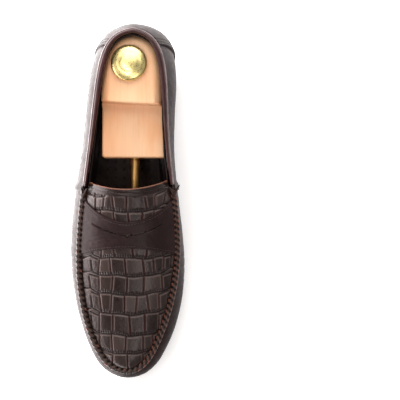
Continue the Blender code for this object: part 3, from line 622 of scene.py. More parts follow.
# ---- the embossed apron ----
# Row grooves on the centre line, and each row's groove lines across, from the tongue to the toe.
ROWS = [
    (12.0, (-22.9, -16.2)),
    (5.0, (-22.9, -16.2, -8.4, 2.5, 17.8, 25.0)),
    (-7.0, (-19.5, -7.8, 4.0, 14.5, 24.0)),
    (-20.0, (-18.0, -7.0, 6.0, 17.0)),
    (-33.5, (-18.7, -8.6, 6.5, 17.9, 30.2)),
    (-45.0, (-21.3, -11.8, 0.6, 15.1, 23.2, 31.2)),
    (-59.6, (-21.5, -10.4, 1.7, 15.1, 29.7)),
    (-75.1, (-20.6, -11.5, -0.5, 8.9, 18.4, 27.2)),
    (-91.4, (-21.7, -10.4, 3.5, 15.5, 27.2)),
    (-109.0, (-22.0, -11.5, -0.2, 14.0, 21.7)),
    (-124.0, (-11.5, 1.3, 14.0)),
    (-140.0, ()),
]


def row_y(centre_y, x):
    """A row groove bends towards the heel at its sides, a little unevenly."""
    wave = 0.8 * np.sin(x / 7.0 + centre_y * 0.37) + 0.35 * np.sin(x / 3.1 + centre_y)
    return centre_y + wave + 2.2 * (x / 36.0) ** 2


def emboss_lines():
    """Row grooves, column grooves and comb ticks, each as an array of segments (x0, y0, x1, y1)."""
    rows, ribs, ticks = [], [], []
    for (high_y, columns), (low_y, _) in zip(ROWS, ROWS[1:]):
        if not columns:
            continue
        reach = np.linspace(columns[0] - 1.0, columns[-1] + 1.0, 14)
        edge = row_y(low_y, reach)
        rows += list(zip(reach[:-1], edge[:-1], reach[1:], edge[1:]))
        tilt = RNG.uniform(-0.9, 0.9, len(columns))
        for x, slant in zip(columns, tilt):
            ribs.append((x - slant, row_y(high_y, x), x + slant, row_y(low_y, x)))
        for left, right in zip(columns, columns[1:]):
            count = max(int((right - left - 1.6) / 1.7), 2)
            for x in np.linspace(left + 1.5, right - 1.5, count):
                foot = row_y(low_y, x) + 0.6
                ticks.append((x, foot, x + RNG.uniform(-0.25, 0.25), foot + RNG.uniform(1.5, 2.5)))
        for x, sign in ((columns[0], -1), (columns[-1], 1)):
            middle_y = (row_y(high_y, x) + row_y(low_y, x)) / 2
            knee = (x + sign * RNG.uniform(5.5, 7.5), row_y(low_y, x) + RNG.uniform(2.5, 4.5))
            rows.append((x, row_y(low_y, x), *knee))
            rows.append((*knee, knee[0] + sign * RNG.uniform(0.3, 1.6), knee[1] + (high_y - low_y) * 0.62))
            rows.append((*knee, knee[0] + sign * 9, knee[1] - RNG.uniform(-2.0, 4.0)))
            rows.append((x + sign * 0.8, middle_y + 6.2, x + sign * 7.5, middle_y + RNG.uniform(7.5, 9.5)))
    return np.array(rows), np.array(ribs), np.array(ticks)


def tile_values(x, y):
    """Each tile's own tone, from 0 to 1, and how far its slight tilt lifts each point."""
    tone, lift = 0.35 + 0 * x, 0 * x
    for (high_y, columns), (low_y, _) in zip(ROWS, ROWS[1:]):
        inside = (y < row_y(high_y, x)) & (y >= row_y(low_y, x))
        place = np.searchsorted(np.array(columns), x)
        for k in range(len(columns) + 1):
            shade, lean_x, lean_y = RNG.uniform(0, 1), RNG.normal(0, 0.022), RNG.normal(0, 0.018)
            here = inside & (place == k)
            if here.any():
                tone[here] = shade**1.8
                lift[here] = lean_x * (x[here] - x[here].mean()) + lean_y * (y[here] - y[here].mean())
    return tone, np.clip(lift, -0.22, 0.22)


def distance_to(x, y, lines):
    """Distance from each point to the nearest of the segments."""
    best = np.full(x.shape, 1e9)
    for x0, y0, x1, y1 in lines:
        dx, dy = x1 - x0, y1 - y0
        t = np.clip(((x - x0) * dx + (y - y0) * dy) / max(dx * dx + dy * dy, 1e-9), 0, 1)
        best = np.minimum(best, np.hypot(x - x0 - t * dx, y - y0 - t * dy))
    return best


def pucker(p, distance, depth, reach):
    """Gathers of leather at the stitches, dying away from the seam."""
    return -depth * np.exp(-distance / reach) * (0.5 + 0.5 * np.cos(seam_phase(p)))


def apron_grid():
    rear = outline(LATERAL, APRON_REAR)[1]
    rows_y = np.arange(rear, -134.0, -0.46)
    toe = np.arange(station_at(-134.0), APRON_TOE, 0.0026)
    a = np.concatenate([station_at(rows_y), toe[1:], [APRON_TOE]])
    return a[: (len(a) - 1) // 4 * 4 + 1]


TONGUE_BAND = 6.2  # the smooth band along the tongue's cut edge
TONGUE_STITCHES = 3.6  # from the cut edge


def build_apron():
    a = apron_grid()[:, None]
    q = np.linspace(-1, 1, 193)[None, :]
    surface = lambda s, t: apron(s, t, 1.2)
    steps = (2e-4, 1e-3)
    base = surface(a, q)
    x, y = base[..., 0], base[..., 1]
    rows, ribs, ticks = emboss_lines()
    near_row, near_rib = distance_to(x, y, rows), distance_to(x, y, ribs)
    near = np.minimum(near_row, near_rib)
    row_depth, rib_depth = np.exp(-((near_row / 0.55) ** 2)), np.exp(-((near_rib / 0.5) ** 2))
    groove_depth = np.maximum(row_depth, rib_depth)
    tick_depth = np.exp(-((distance_to(x, y, ticks) / 0.48) ** 2)) * (1 - groove_depth)
    # The rim also lightens the colour there, as a painted highlight.
    # Each tile has a raised rim, strongest along its heel side, round a slightly sunken middle.
    heel_rim = np.exp(-((distance_to(x, y + 1.2, rows) / 0.5) ** 2)) * (1 - row_depth)
    side_rim = np.exp(-(((near - 1.25) / 0.42) ** 2))
    rim_and_highlight = np.clip(np.maximum(heel_rim, 0.6 * side_rim), 0, 1)
    tone, lift = tile_values(x, y)
    relief = 0.36 * (1 - np.exp(-near / 1.1)) + 0.20 * rim_and_highlight + lift * (1 - np.exp(-near / 1.5))
    relief = relief + 0.035 * np.sin(x * 1.9 + 2.0 * np.sin(y * 0.31)) * np.sin(y * 0.9)
    relief = relief - 0.66 * groove_depth - 0.55 * tick_depth
    # The comb band is painted shade along each tile's toe-side edge, where the ticks are: it only darkens the
    # colour.
    comb = np.exp(-((distance_to(x, y - 1.9, rows) / 0.85) ** 2)) * (1 - row_depth)
    edge = np.minimum(1 - np.abs(q), 1) * half_width(a)
    fade = np.clip(edge / 3.2, 0, 1)
    cut = np.linalg.norm(base - base[:1], axis=-1)
    fade = fade * ease((cut - TONGUE_BAND) / 0.9)
    p = np.where(q < 0, -1, 1) * (1 - a)
    out = fade * relief + pucker(p, edge, 0.75, 2.6) - edge_round(cut, 0.55)
    out = out - 0.28 * np.exp(-(((cut - TONGUE_STITCHES) / 0.45) ** 2))
    corner = np.clip(1 - cut / 6.0, 0, 1) * np.clip(1 - edge / 6.0, 0, 1)
    out = out - 2.6 * corner**1.3
    attributes = {
        # Painted shade: the groove value darkens the colour in the grooves, the ticks and the comb band.
        "recess_shade": np.clip(fade * np.maximum(np.maximum(row_depth, tick_depth), 0.7 * comb), 0, 1),
        # Painted highlight: the rim value lightens the colour along the tiles' raised rims.
        "red": np.clip(fade * rib_depth * 0.9, 0, 1), "rim_and_highlight": fade * rim_and_highlight * (1 - groove_depth) * 0.75,
        "tone": fade * tone, "edge": np.clip(1.2 - cut / 0.62, 0, 1),
    }
    outer = pushed(surface, a, q, out, steps)
    inner = pushed(surface, a[::4], q[:, ::4], -UPPER_LEATHER, steps)
    look = slab("apron_embossed", outer, inner, CROC, 4, attributes=attributes, sharp=70)
    finish_piece(look, "embossed_leather", "apron")
    row = np.abs(cut.mean(1) - TONGUE_STITCHES).argmin()
    across = np.linspace(-0.94, 0.94, 200)
    line = pushed(surface, np.full(200, a[row, 0]), across, -0.16, steps)
    stitches("tongue_stitches", line, 2.6, 1.9, 0.5, DARK_THREAD)


# ---- the smooth leather ----
STEPS = (2e-4, 1e-3)
WAVES = RNG.uniform(-1, 1, (9, 4)) * (1, 1, 1, np.pi)


def ripple(points, length):
    """A smooth unevenness between about -1 and 1, with waves of this length in millimetres."""
    total = 0
    for x, y, z, phase in WAVES:
        total = total + np.sin((points @ np.array([x, y, z])) * 2 * np.pi / length + phase)
    return total / 4.5


def ease(t):
    t = np.clip(t, 0, 1)
    return t * t * (3 - 2 * t)


def runs(points):
    """The length along each row of a grid's first axis, from its start."""
    steps = np.linalg.norm(np.diff(points, axis=0), axis=-1)
    return np.concatenate([0 * steps[:1], np.cumsum(steps, axis=0)])


def wall_skin(name, surface, p, v, out, thickness, look, stride=4, attributes=None):
    """A fine leather layer on the wall: its face is `out` from the wall, and it is this thick."""
    p, v = np.broadcast_arrays(p, v)
    outer = pushed(surface, p, v, out, STEPS)
    under = (out if np.ndim(out) else np.full(p.shape, out))[::stride, ::stride] - thickness
    inner = pushed(surface, p[::stride, ::stride], v[::stride, ::stride], under, STEPS)
    return slab(name, outer, inner, look, stride, attributes=attributes)


QUARTER_FRONT = VAMP_REAR + 0.0075
OVERLAP = 1.45


def build_quarters():
    for name, sign in (("quarter_lateral", -1), ("quarter_medial", 1)):
        p = sign * np.linspace(0.0012, QUARTER_FRONT, 321)[:, None]
        v = np.concatenate([np.linspace(-1.15, -0.06, 28), np.linspace(0, 1, 61)])[None, :]
        face = running_wall(p, v)
        to_front = runs(face)[-1] - runs(face)
        to_top = np.abs(runs(face.swapaxes(0, 1))[-1] - runs(face.swapaxes(0, 1))).T
        lap = OVERLAP * ease((np.abs(p) - VAMP_REAR + 0.012) / 0.010)
        out = lap + 0.16 * ripple(face, 23) + 0.05 * ripple(face, 7) - edge_round(to_front, 0.8)
        out = out + 0.35 * np.exp(-(((to_top - 0.7) / 0.9) ** 2)) - edge_round(to_top, 0.6)
        back = runs(face)
        out = out - 0.7 * np.exp(-((back / 0.9) ** 2))
        made = wall_skin(name + "_leather", running_wall, p, v, out, UPPER_LEATHER, SMOOTH)
        finish_piece(made, "smooth_leather", name)
        row = np.linspace(0.155, VAMP_REAR - 0.012, 400) * sign
        line = pushed(running_wall, row, np.full(400, 0.955), 0.42, STEPS)
        stitches(name + "_top_stitches", line, 2.5, 1.8, 0.5, DARK_THREAD)
        for k, back_off in enumerate((0.0045, 0.0085)):
            level = np.linspace(-0.75, 0.93, 120)
            line = pushed(running_wall, np.full(120, sign * (QUARTER_FRONT - back_off)), level,
                OVERLAP + 0.1, STEPS)
            stitches(f"{name}_front_stitches_{k + 1}", line, 2.5, 1.8, 0.5, DARK_THREAD)


def counter_front(v):
    """Running station of the counter cover's front edge at wall level v."""
    up = (v + 0.72) / (0.985 + 0.72)
    return 0.205 + (0.14 - 0.205) * up


COUNTER_ROWS = (2.2, 5.0)  # lines of stitches, from the cover's front edge


def build_counter():
    v = np.linspace(-0.72, 0.985, 61)[None, :]
    p = np.linspace(-1, 1, 361)[:, None] * counter_front(v)
    face = running_wall(p, v)
    ends = np.minimum(runs(face), runs(face)[-1] - runs(face))
    across = runs(face.swapaxes(0, 1))
    tops = np.minimum(across, across[-1] - across).T
    out = 1.75 + 0.13 * ripple(face, 21) - edge_round(ends, 0.6) - edge_round(tops, 0.5)
    # This marks the sunken stitch lines, where the colour is darkened as painted shade.
    crease_shade = 0 * out
    for row in COUNTER_ROWS:
        line = np.exp(-(((ends - row) / 0.42) ** 2))
        out, crease_shade = out - 0.34 * line, np.maximum(crease_shade, line)
    made = wall_skin("counter_cover_leather", running_wall, p, v, out, 1.2, SMOOTH,
        attributes={"crease_shade": 0.8 * crease_shade})
    finish_piece(made, "smooth_leather", "counter_cover")
    place = runs(face)
    for side in (-1, 1):
        for k, row in enumerate(COUNTER_ROWS):
            line = []
            for j in range(1, face.shape[1] - 1):
                distance = place[:, j] if side < 0 else place[-1, j] - place[:, j]
                at = np.interp(row, distance[::-side], p[::-side, j])
                line.append(pushed(running_wall, [at], [v[0, j]], 1.62, STEPS)[0])
            name = f"counter_stitches_{k + 1}_{'lateral' if side < 0 else 'medial'}"
            stitches(name, line, 2.4, 1.7, 0.5, DARK_THREAD)


def build_vamp():
    reach = 1 - VAMP_REAR - 0.0005
    p = np.linspace(-reach, reach, 1001)[:, None]
    v = np.concatenate([np.linspace(-1.15, -0.06, 25), np.linspace(0, 0.975, 52)])[None, :]
    face = front_wall(p, v)
    across = runs(face.swapaxes(0, 1))
    to_top = (across[-1] - across).T
    gather = -0.55 * np.exp(-to_top / 3.4) * (0.5 + 0.5 * np.cos(seam_phase(p)))
    out = gather + 0.14 * ripple(face, 19) + 0.05 * ripple(face, 6)
    for y, depth in ((-44.0, 0.30), (-52.5, 0.22), (-62.0, 0.26)):
        bend = y + 1.8 * np.sin(face[..., 2] / 6.0)
        out = out - depth * np.exp(-(((face[..., 1] - bend) / 1.1) ** 2)) * ease((face[..., 2] - 12) / 14)
    made = wall_skin("vamp_leather", front_wall, p, v, out, UPPER_LEATHER, SMOOTH)
    finish_piece(made, "smooth_leather", "vamp_wall")


def strap_curves(q, x):
    bow = 1 - q**2
    upper = 3.9 - 18.6 * bow
    lower = -42.5 + 6.0 * bow
    middle = -15.0 - 10.2 * np.clip(1 - (q / 0.78) ** 2, 0, 1)
    half = 0.62 * np.clip(1 - (q / 0.74) ** 2, 0, 1) ** 0.5
    notch = 1.7 * np.clip(1 - np.abs(x - 2.5) / 1.5, 0, 1)
    return upper, middle + half, middle - half - notch, lower


def apron_point_at(y, q):
    """The station where the apron's column q crosses y."""
    a = station_at(y)
    for _ in range(6):
        a = a + (apron(a, q)[..., 1] - y) / (LENGTH * np.pi / 2 * np.sin(np.pi * a))
    return a


def build_strap():
    q = np.linspace(-0.985, 0.985, 241)[:, None]
    centre = apron(station_at(-20.0), q)[..., 0]
    upper, slot_high, slot_low, lower = strap_curves(q, centre)
    slot_low = np.minimum(slot_low, slot_high - 0.25)
    first, second = np.linspace(0, 1, 30)[None, :], np.linspace(0, 1, 30)[None, :]
    y = np.concatenate([upper + (slot_high - upper) * first, slot_low + (lower - slot_low) * second], 1)
    q = q + 0 * y
    a = apron_point_at(y, q)
    keep = np.ones((y.shape[0] - 1, y.shape[1] - 1), bool)
    keep[31:-31, 29] = False
    surface = lambda s, t: apron(s, t, 1.2)
    face = surface(a, q)
    edge = np.minimum(upper - y, y - lower)
    slot_edge = np.minimum(np.abs(y - slot_high), np.abs(y - slot_low))
    inside = np.abs(q) < 0.745
    out = 1.75 + 0.14 * ripple(face, 17) + 0.05 * ripple(face, 5) - edge_round(edge, 0.8)
    out = out - np.where(inside, edge_round(slot_edge, 0.5), 0)
    for row in (2.1,):
        out = out - 0.15 * np.exp(-(((edge - row) / 0.45) ** 2))
    for x, y0, length in ((-21, -26, 9), (-24, -30.5, 7), (-16, -31, 8)):
        across = face[..., 1] - (y0 + 0.25 * (face[..., 0] - x))
        out = out - 0.32 * np.exp(-((across / 0.8) ** 2)) * np.exp(-(((face[..., 0] - x) / length) ** 2))
    seam = np.minimum(1 - np.abs(q), 1) * half_width(a)
    p = np.where(q < 0, -1, 1) * (1 - a)
    out = out + pucker(p, seam, 0.7, 2.4) - 0.7 * np.exp(-seam / 1.6)
    outer = pushed(surface, a, q, out, STEPS)
    inner = pushed(surface, a, q, 0.45 + 0 * out, STEPS)
    made = slab("strap_leather", outer, inner, SMOOTH, keep=keep)
    finish_piece(made, "smooth_leather", "saddle_strap")
    for name, offset, sign in (("upper", 2.1, -1), ("lower", 2.1, 1)):
        t = np.linspace(-0.93, 0.93, 300)
        rows = strap_curves(t, t * 0 + 99)
        y_line = rows[0 if name == "upper" else 3] + sign * offset
        line = pushed(surface, apron_point_at(y_line, t), t, 1.72, STEPS)
        stitches(f"strap_{name}_stitches", line, 2.4, 1.7, 0.5, DARK_THREAD)


# ---- the moccasin seam ----
def build_seam():
    reach = 1 - VAMP_REAR - 0.001
    count = 60 * 16
    p = np.linspace(-reach, reach, count)
    run = np.interp(p, SEAM_P, SEAM_RUN)
    p = np.interp(np.linspace(run[0], run[-1], count), run, p)
    line, out = seam_line(p)
    phase = seam_phase(p)
    up = np.array([0, 0, 1.0])
    sides = 20
    rings, dark, pale = [], [], []
    for angle in np.arange(sides) * 2 * np.pi / sides:
        # The gathers on the two flanks are half a stitch apart, which gives the plaited look.
        beat = 0.5 + 0.5 * np.cos(phase + 1.3 * np.sign(np.cos(angle)) * abs(np.cos(angle)) ** 0.5)
        flank = np.exp(-(((abs(np.cos(angle)) - 0.62) / 0.36) ** 2)) * (math.sin(angle) > -0.3)
        pit = beat**4 * flank
        swell = 1 - 0.42 * pit
        tallness = np.where(np.sin(angle) > 0, 2.4 * (1 - 0.10 * beat**2), 2.2)
        reach_out = 2.55 * np.cos(angle) * swell
        rings.append(
            line + out * reach_out[:, None] + up * (0.15 + tallness * np.sin(angle) * swell)[:, None]
        )
        # Painted shade in the stitch pits, and painted highlight on the upper side between them.
        dark.append(np.clip(pit * 1.35, 0, 1))
        pale.append(np.clip(np.sin(angle), 0, 1) * (1 - beat) ** 1.5 * 0.8)
    made = mesh_object(
        "seam_gathers", np.stack(rings, 1), tube_faces(count, sides), RIDGE,
        attributes={"recess_shade": np.stack(dark, 1), "rim_and_highlight": np.stack(pale, 1)}, sharp=80,
    )
    finish_piece(made, "smooth_leather", "seam_ridge")
    turns = int(SEAM_RUN[-1] // STITCH_PITCH) - 1
    share = np.linspace(0, 1, 9)
    groups = {"seam_stitches": (THREAD, [], []), "seam_stitches_dark": (DARK_THREAD, [], [])}
    for k in range(2 * turns):
        # A thread dips out of one flank and then the other, and lies nearly along the seam between.
        flank = 1 if k % 2 else -1
        at = (k / 2 + 0.70 + (share - 0.5) * 0.52) * STITCH_PITCH
        centre, way = seam_line(np.interp(at, SEAM_RUN, SEAM_P))
        swing = flank * (1.75 - 0.75 * flank * (share[:, None] - 0.5))
        rise = 1.25 + 1.0 * np.sin(np.pi * share)[:, None] ** 0.7
        # Waxed red thread shows along the medial side and the toe, and only here and there on the
        # lateral side.
        red = centre[0, 0] > 8 or k % 7 == 0
        look, points, faces = groups["seam_stitches" if red else "seam_stitches_dark"]
        faces += tube_faces(9, 6, first=54 * len(points))
        points.append(sweep(centre + way * swing + up * rise, 6, 0.36).reshape(-1, 3))
    for name, (look, points, faces) in groups.items():
        made = mesh_object(name, np.concatenate(points), faces, look)
        finish_piece(made, "waxed_thread", *(["seam_thread"] if name == "seam_stitches" else []))


TAB_ROOT_Y = 6.0  # where the seam's pinched end splits
TAB_SPREAD = {"lateral": 1.2, "medial": 5.0}


def build_seam_tabs():
    """The two pinched ends of the seam: a pair of pointed leaves each, which stand up and spread."""
    share = np.linspace(0, 1, 14)[:, None]
    back_way, up = np.array([0, 1.0, 0]), np.array([0, 0, 1.0])
    for name, sign in (("lateral", -1), ("medial", 1)):
        line, out = seam_line(np.array([sign * (1 - station_at(TAB_ROOT_Y))]))
        foot, way = line[0], out[0]
        points, faces = [], []
        for k, (back, rise, spread) in enumerate(((8.6, 4.6, TAB_SPREAD[name]), (7.6, 5.6, -3.8))):
            path = foot + back_way * back * share + way * spread * share**1.3
            path = path + up * (0.8 + rise * share**1.2)
            width = 1.9 * (1 - share[:, 0] ** 1.6) + 0.22
            rings = sweep(path, 12, width)
            rings = path[:, None] + (rings - path[:, None]) * (0.75, 1.0, 1.15)
            points.append(rings.reshape(-1, 3))
            faces += tube_faces(14, 12, first=168 * k)
        # Painted highlight: the leaves are lighter along the middle of their length, in the seam's highlight
        # colour.
        pale = np.tile(0.35 * (1 - np.abs(share - 0.5) * 2), (2, 12))
        made = mesh_object(
            f"seam_tab_{name}", np.concatenate(points), faces, RIDGE, attributes={"rim_and_highlight": pale,
                "recess_shade": 0 * pale}
        )
        finish_piece(made, "smooth_leather")


# ---- the topline ----
def topline(p):
    side = np.where(p < 0, LATERAL, MEDIAL)
    a = np.abs(p)
    x, y = offset_outline(side, a, -lean(side, a))
    nx, ny = plan_normal(side, a)
    return np.stack([x, y, top_z(a)], -1), np.stack([nx, ny, 0 * nx], -1), a, side


def build_binding():
    p = np.linspace(-VAMP_REAR + 0.003, VAMP_REAR - 0.003, 901)
    line, out, a, side = topline(p)
    up = np.array([0, 0, 1.0])
    waist = np.where(side > 0, np.exp(-(((a - 0.36) / 0.07) ** 2)), 0)
    half = roll_half(a) - 0.6 - 0.15 * waist
    sides = 24
    wobble = 0.06 * ripple(line, 6.0) + 0.05 * np.sin(SEAM_RUN[-1] * p * 0.55)
    rings = []
    for angle in np.arange(sides) * 2 * np.pi / sides:
        across = (half + wobble) * np.cos(angle)
        rise = (2.15 + wobble) * np.sin(angle) * (1.0 if np.sin(angle) > 0 else 1.5)
        rings.append(line + out * (across - half + 0.15)[:, None] + up * (2.75 + rise)[:, None])
    made = mesh_object("topline_roll", np.stack(rings, 1), tube_faces(len(p), sides), BINDING, sharp=80)
    finish_piece(made, "binding_leather", "topline_binding")
    # The bead's light colour is a painted highlight on the rolled top edge.
    edge = line + out * 0.75 + up * 2.2
    made = mesh_object("topline_bead", sweep(edge, 10, 0.75), tube_faces(len(p), 10), BEAD_PAINTED_HIGHLIGHT, sharp=80)
    finish_piece(made, "smooth_leather")


# ---- inside the shoe ----
def build_linings():
    near = UPPER_LEATHER + 2 * LAYER_GAP + STIFFENER
    p = np.linspace(-VAMP_REAR + 0.004, VAMP_REAR - 0.004, 361)[:, None]
    v = np.linspace(-0.73, 0.985, 49)[None, :]
    face = running_wall(p, v)
    out = -near + 0.22 * ripple(face, 18)
    outer = pushed(running_wall, p, v, out, STEPS)
    inner = pushed(running_wall, p, v, out - LINING_LEATHER, STEPS)
    finish_piece(slab("quarter_lining_leather", outer, inner, LINING), "lining_leather", "quarter_lining")
    near = UPPER_LEATHER + LAYER_GAP
    p = np.linspace(-0.44, 0.44, 241)[:, None]
    v = np.linspace(0.75, 0.985, 15)[None, :]
    crown = np.sin(np.pi * (v - 0.75) / 0.235).clip(0, 1) ** 0.5 + 0 * p
    crown = crown * np.sin(np.pi * (p + 0.44) / 0.88).clip(0, 1) ** 0.25
    middle = -(near + STIFFENER / 2)
    outer = pushed(running_wall, p, v, middle + crown * STIFFENER / 2, STEPS)
    inner = pushed(running_wall, p, v, middle - crown * STIFFENER / 2 - 0.02, STEPS)
    made = finish_piece(slab("collar_foam", outer, inner, FOAM), "padding_foam", "collar_padding")
    reach = 1 - VAMP_REAR - 0.002
    p = np.linspace(-reach, reach, 361)[:, None]
    v = np.linspace(-0.73, 0.84, 33)[None, :]
    out = -near + 0.12 * ripple(front_wall(p, v), 18)
    outer = pushed(front_wall, p, v, out, STEPS)
    inner = pushed(front_wall, p, v, out - LINING_LEATHER, STEPS)
    finish_piece(slab("vamp_lining_leather", outer, inner, LINING), "lining_leather", "vamp_lining")
    a = APRON_REAR + 0.002 + (APRON_TOE - APRON_REAR - 0.002) * np.sin(
        np.linspace(0, 1, 121) * np.pi / 2)[:, None] ** 0.9
    q = np.linspace(-1, 1, 61)[None, :]
    surface = lambda s, t: apron(s, t, 4.2)
    out = -near + 0.10 * ripple(surface(a, q), 16) - 0.1
    outer = pushed(surface, a, q, out, STEPS)
    inner = pushed(surface, a, q, out - LINING_LEATHER, STEPS)
    finish_piece(slab("apron_lining_leather", outer, inner, LINING), "lining_leather", "apron_lining")


def sole_sheet(name, inset, low, high, look, first=0.0, last=1.0, front=None, radius=0.8, rows=220,
        relief=None):
    """A plate over the sole's plan, with rounded edges."""
    a = np.linspace(first, last, rows)[:, None]
    share = 0.5 - 0.5 * np.cos(np.linspace(0, np.pi, 49))[None, :]
    reach = foot_inset(a) + inset
    xl, yl = offset_outline(LATERAL, a, -reach)
    xm, ym = offset_outline(MEDIAL, a, -reach)
    x, y = xl + (xm - xl) * share, yl + (ym - yl) * share
    if front is not None:
        y = np.maximum(y, front)
    width = np.hypot(xm - xl, ym - yl)
    edge = np.minimum(share, 1 - share) * width
    edge = np.minimum(edge, runs(np.stack([x, y], -1))[-1]) if front is None else np.minimum(edge, y - front)
    fall = edge_round(edge, radius)
    top, bottom = high(y) - fall, low(y) + fall
    if relief:
        bottom = bottom + relief(x, y, edge)
    return slab(name, np.stack([x, y, top], -1), np.stack([x, y, bottom], -1), look)


def tread(x, y, edge):
    """Cross ribs under the ball and a plain waist."""
    ribs = 0.5 + 0.5 * np.tanh(6 * np.sin(2 * np.pi * (y + 1.5 * np.sin(x / 7.0)) / 5.2))
    ball = ease((20 - y) / 8) * ease((y + 132) / 8) * ease((edge - 4) / 1.2)
    return 0.9 * ribs * ball


def build_bottom():
    outsole_low = lambda y: np.maximum(seat_z(y) - OUTSOLE, 0.0)
    made = sole_sheet("outsole_rubber", -2.2, outsole_low, seat_z, RUBBER, rows=460, relief=tread)
    finish_piece(made, "sole_rubber", "outsole")
    last = station_at(HEEL_BREAST) + 0.012
    level = lambda height: lambda y: np.full_like(y, height)
    made = sole_sheet("heel_top_rubber", -1.6, level(0.0), level(5.0), RUBBER, 0, last, HEEL_BREAST)
    finish_piece(made, "sole_rubber", "heel_top_piece")
    made = sole_sheet("heel_lift_low_leather", -1.8, level(5.25), level(9.85), STACKED, 0, last,
        HEEL_BREAST, 0.35)
    finish_piece(made, "stacked_leather", "heel_lift_lower")
    under = lambda y: outsole_low(y) - 0.2
    made = sole_sheet("heel_lift_high_leather", -2.0, level(10.0), under, STACKED, 0, last, HEEL_BREAST, 0.35)
    finish_piece(made, "stacked_leather", "heel_lift_upper")
    board = lambda y: seat_z(y) + UPPER_LEATHER + INSOLE_BOARD + 3 * GAP
    made = sole_sheet("sock_leather", 1.8, board, lambda y: board(y) + SOCK, LINING, rows=260)
    finish_piece(made, "lining_leather", "sock_liner")
    build_nubs(lambda y: board(y) + SOCK)


def build_nubs(floor):
    """Rows of small raised massage nubs on the sock."""
    points, faces = [], []
    rings, sides, radius = 5, 10, 1.15
    for x in np.arange(-24.0, 31.0, 7.0):
        for y in np.arange(-70.0, 130.0, 7.0):
            a = station_at(y)
            if abs(x - centre_x(a)) > half_width(a) - foot_inset(a) - 7:
                continue
            lift = np.linspace(0, np.pi / 2, rings)
            angle = np.arange(sides) * 2 * np.pi / sides
            ring = np.stack(np.broadcast_arrays(
                x + radius * np.cos(lift)[:, None] * np.cos(angle),
                y + radius * np.cos(lift)[:, None] * np.sin(angle),
                floor(np.array(y)) - 0.1 + 0.8 * np.sin(lift)[:, None]), -1)
            ring[-1, :, :2] = (x, y) + (ring[-2, :, :2] - (x, y)) * 0.3
            faces += tube_faces(rings, sides, first=len(points) * rings * sides)
            points.append(ring.reshape(-1, 3))
    finish_piece(mesh_object("sock_nubs", np.concatenate(points), faces, LINING), "lining_leather")


# ---- the shoe tree ----
TREE_X, TREE_Z = 7.3, 39.5
BLOCK_FRONT, BLOCK_STEP = 37.0, 80.0
BLOCK_FOOT, BLOCK_LOW, BLOCK_TOP = 26.8, 50.0, 66.0
KNOB_X, KNOB_Y, KNOB_RADIUS = 3.9, 112.3, 14.5
DOME_HEIGHT, DOME_FULLNESS = 3.6, 0.85
BLOCK_SHIFT, BLOCK_HALF_WIDTH = 0.3, 26.2


CORNER = 2.0  # radius of the block's upright front corners
EASED = 1.7  # radius of its other edges
STEP_SKEW = 0.055  # the step's face turns this much of x towards the toe


def block_ring(z, inset, front):
    """One level of the heel block: the shoe's inside, cut off flat in front. front(x) is that cut's y."""
    clear = block_clearance(z) + inset
    p = np.linspace(-0.45, 0.45, 321)
    side = np.where(p < 0, LATERAL, MEDIAL)
    a = np.abs(p)
    level = np.clip((z - widest_z(a)) / (top_z(a) - widest_z(a)), 0, 1)
    depth = np.clip((widest_z(a) - z) / (widest_z(a) - seat_z(HEEL_Y)), 0, 1)
    out = -lean(side, a) * level**2 - foot_inset(a) * (1 - np.sqrt(1 - 0.9 * depth**2)) - clear
    x, y = offset_outline(side, a, out)
    middle, half = TREE_X - BLOCK_SHIFT, BLOCK_HALF_WIDTH - inset
    x = np.clip(x, middle - half, middle + half)
    near = np.clip(CORNER - (y - front(x)), 0, CORNER)
    half = half - CORNER + np.sqrt(CORNER**2 - near**2)
    x = np.clip(x, middle - half, middle + half)
    return np.stack([x, np.maximum(y, front(x)), 0 * x + z], -1)


def build_heel_block():
    turn = np.linspace(0, np.pi / 2, 6)
    low = lambda inset: lambda x: BLOCK_FRONT + inset + 0 * x
    step = lambda inset: lambda x: BLOCK_STEP + inset - STEP_SKEW * (x - TREE_X)
    rings = [
        block_ring(BLOCK_FOOT + EASED * (1 - np.sin(t)), EASED * (1 - np.cos(t)),
            low(EASED * (1 - np.cos(t))))
        for t in turn[::-1]
    ]
    rings += [block_ring(z, 0, low(0)) for z in np.linspace(31, BLOCK_LOW - EASED, 7)]
    for t in turn[1:]:
        inset = EASED * (1 - np.cos(t))
        full, eased = block_ring(BLOCK_LOW - EASED + EASED * np.sin(t), 0, low(inset)), block_ring(
            BLOCK_LOW - EASED + EASED * np.sin(t), inset, low(inset))
        behind = ease((full[:, 1] - BLOCK_STEP + 5) / 5)[:, None]
        rings.append(eased + (full - eased) * behind)
    rings.append(block_ring(BLOCK_LOW + 0.01, 0, step(0)))
    rings += [block_ring(z, 0, step(0)) for z in np.linspace(52, BLOCK_TOP - EASED, 6)]
    for t in turn[1:]:
        inset = EASED * (1 - np.cos(t))
        rings.append(block_ring(BLOCK_TOP - EASED + EASED * np.sin(t), inset, step(inset)))
    rings = np.stack(rings)
    made = mesh_object("heel_block_wood", rings, tube_faces(*rings.shape[:2]), WOOD, "tree_heel", sharp=48)
    finish_piece(made, "tree_wood", "tree_heel_block")


block_clearance = spline((BLOCK_FOOT, 8.2), (31, 6.9), (38, 6.0), (46, 6.0), (56, 6.8), (64, 8.3),
    (BLOCK_TOP, 9.4))


def softened(node, name, width, look, body, slot):
    """A copy of a CAD solid with its edges rounded."""
    made = bpy.data.objects.new(name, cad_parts[node].data.copy())
    made.data.materials.clear()
    made.data.materials.append(look)
    bpy.context.scene.collection.objects.link(made)
    made.matrix_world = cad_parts[node].matrix_world
    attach(made, body)
    bevel(made, width, 3, 30)
    return finish_piece(made, slot, node)


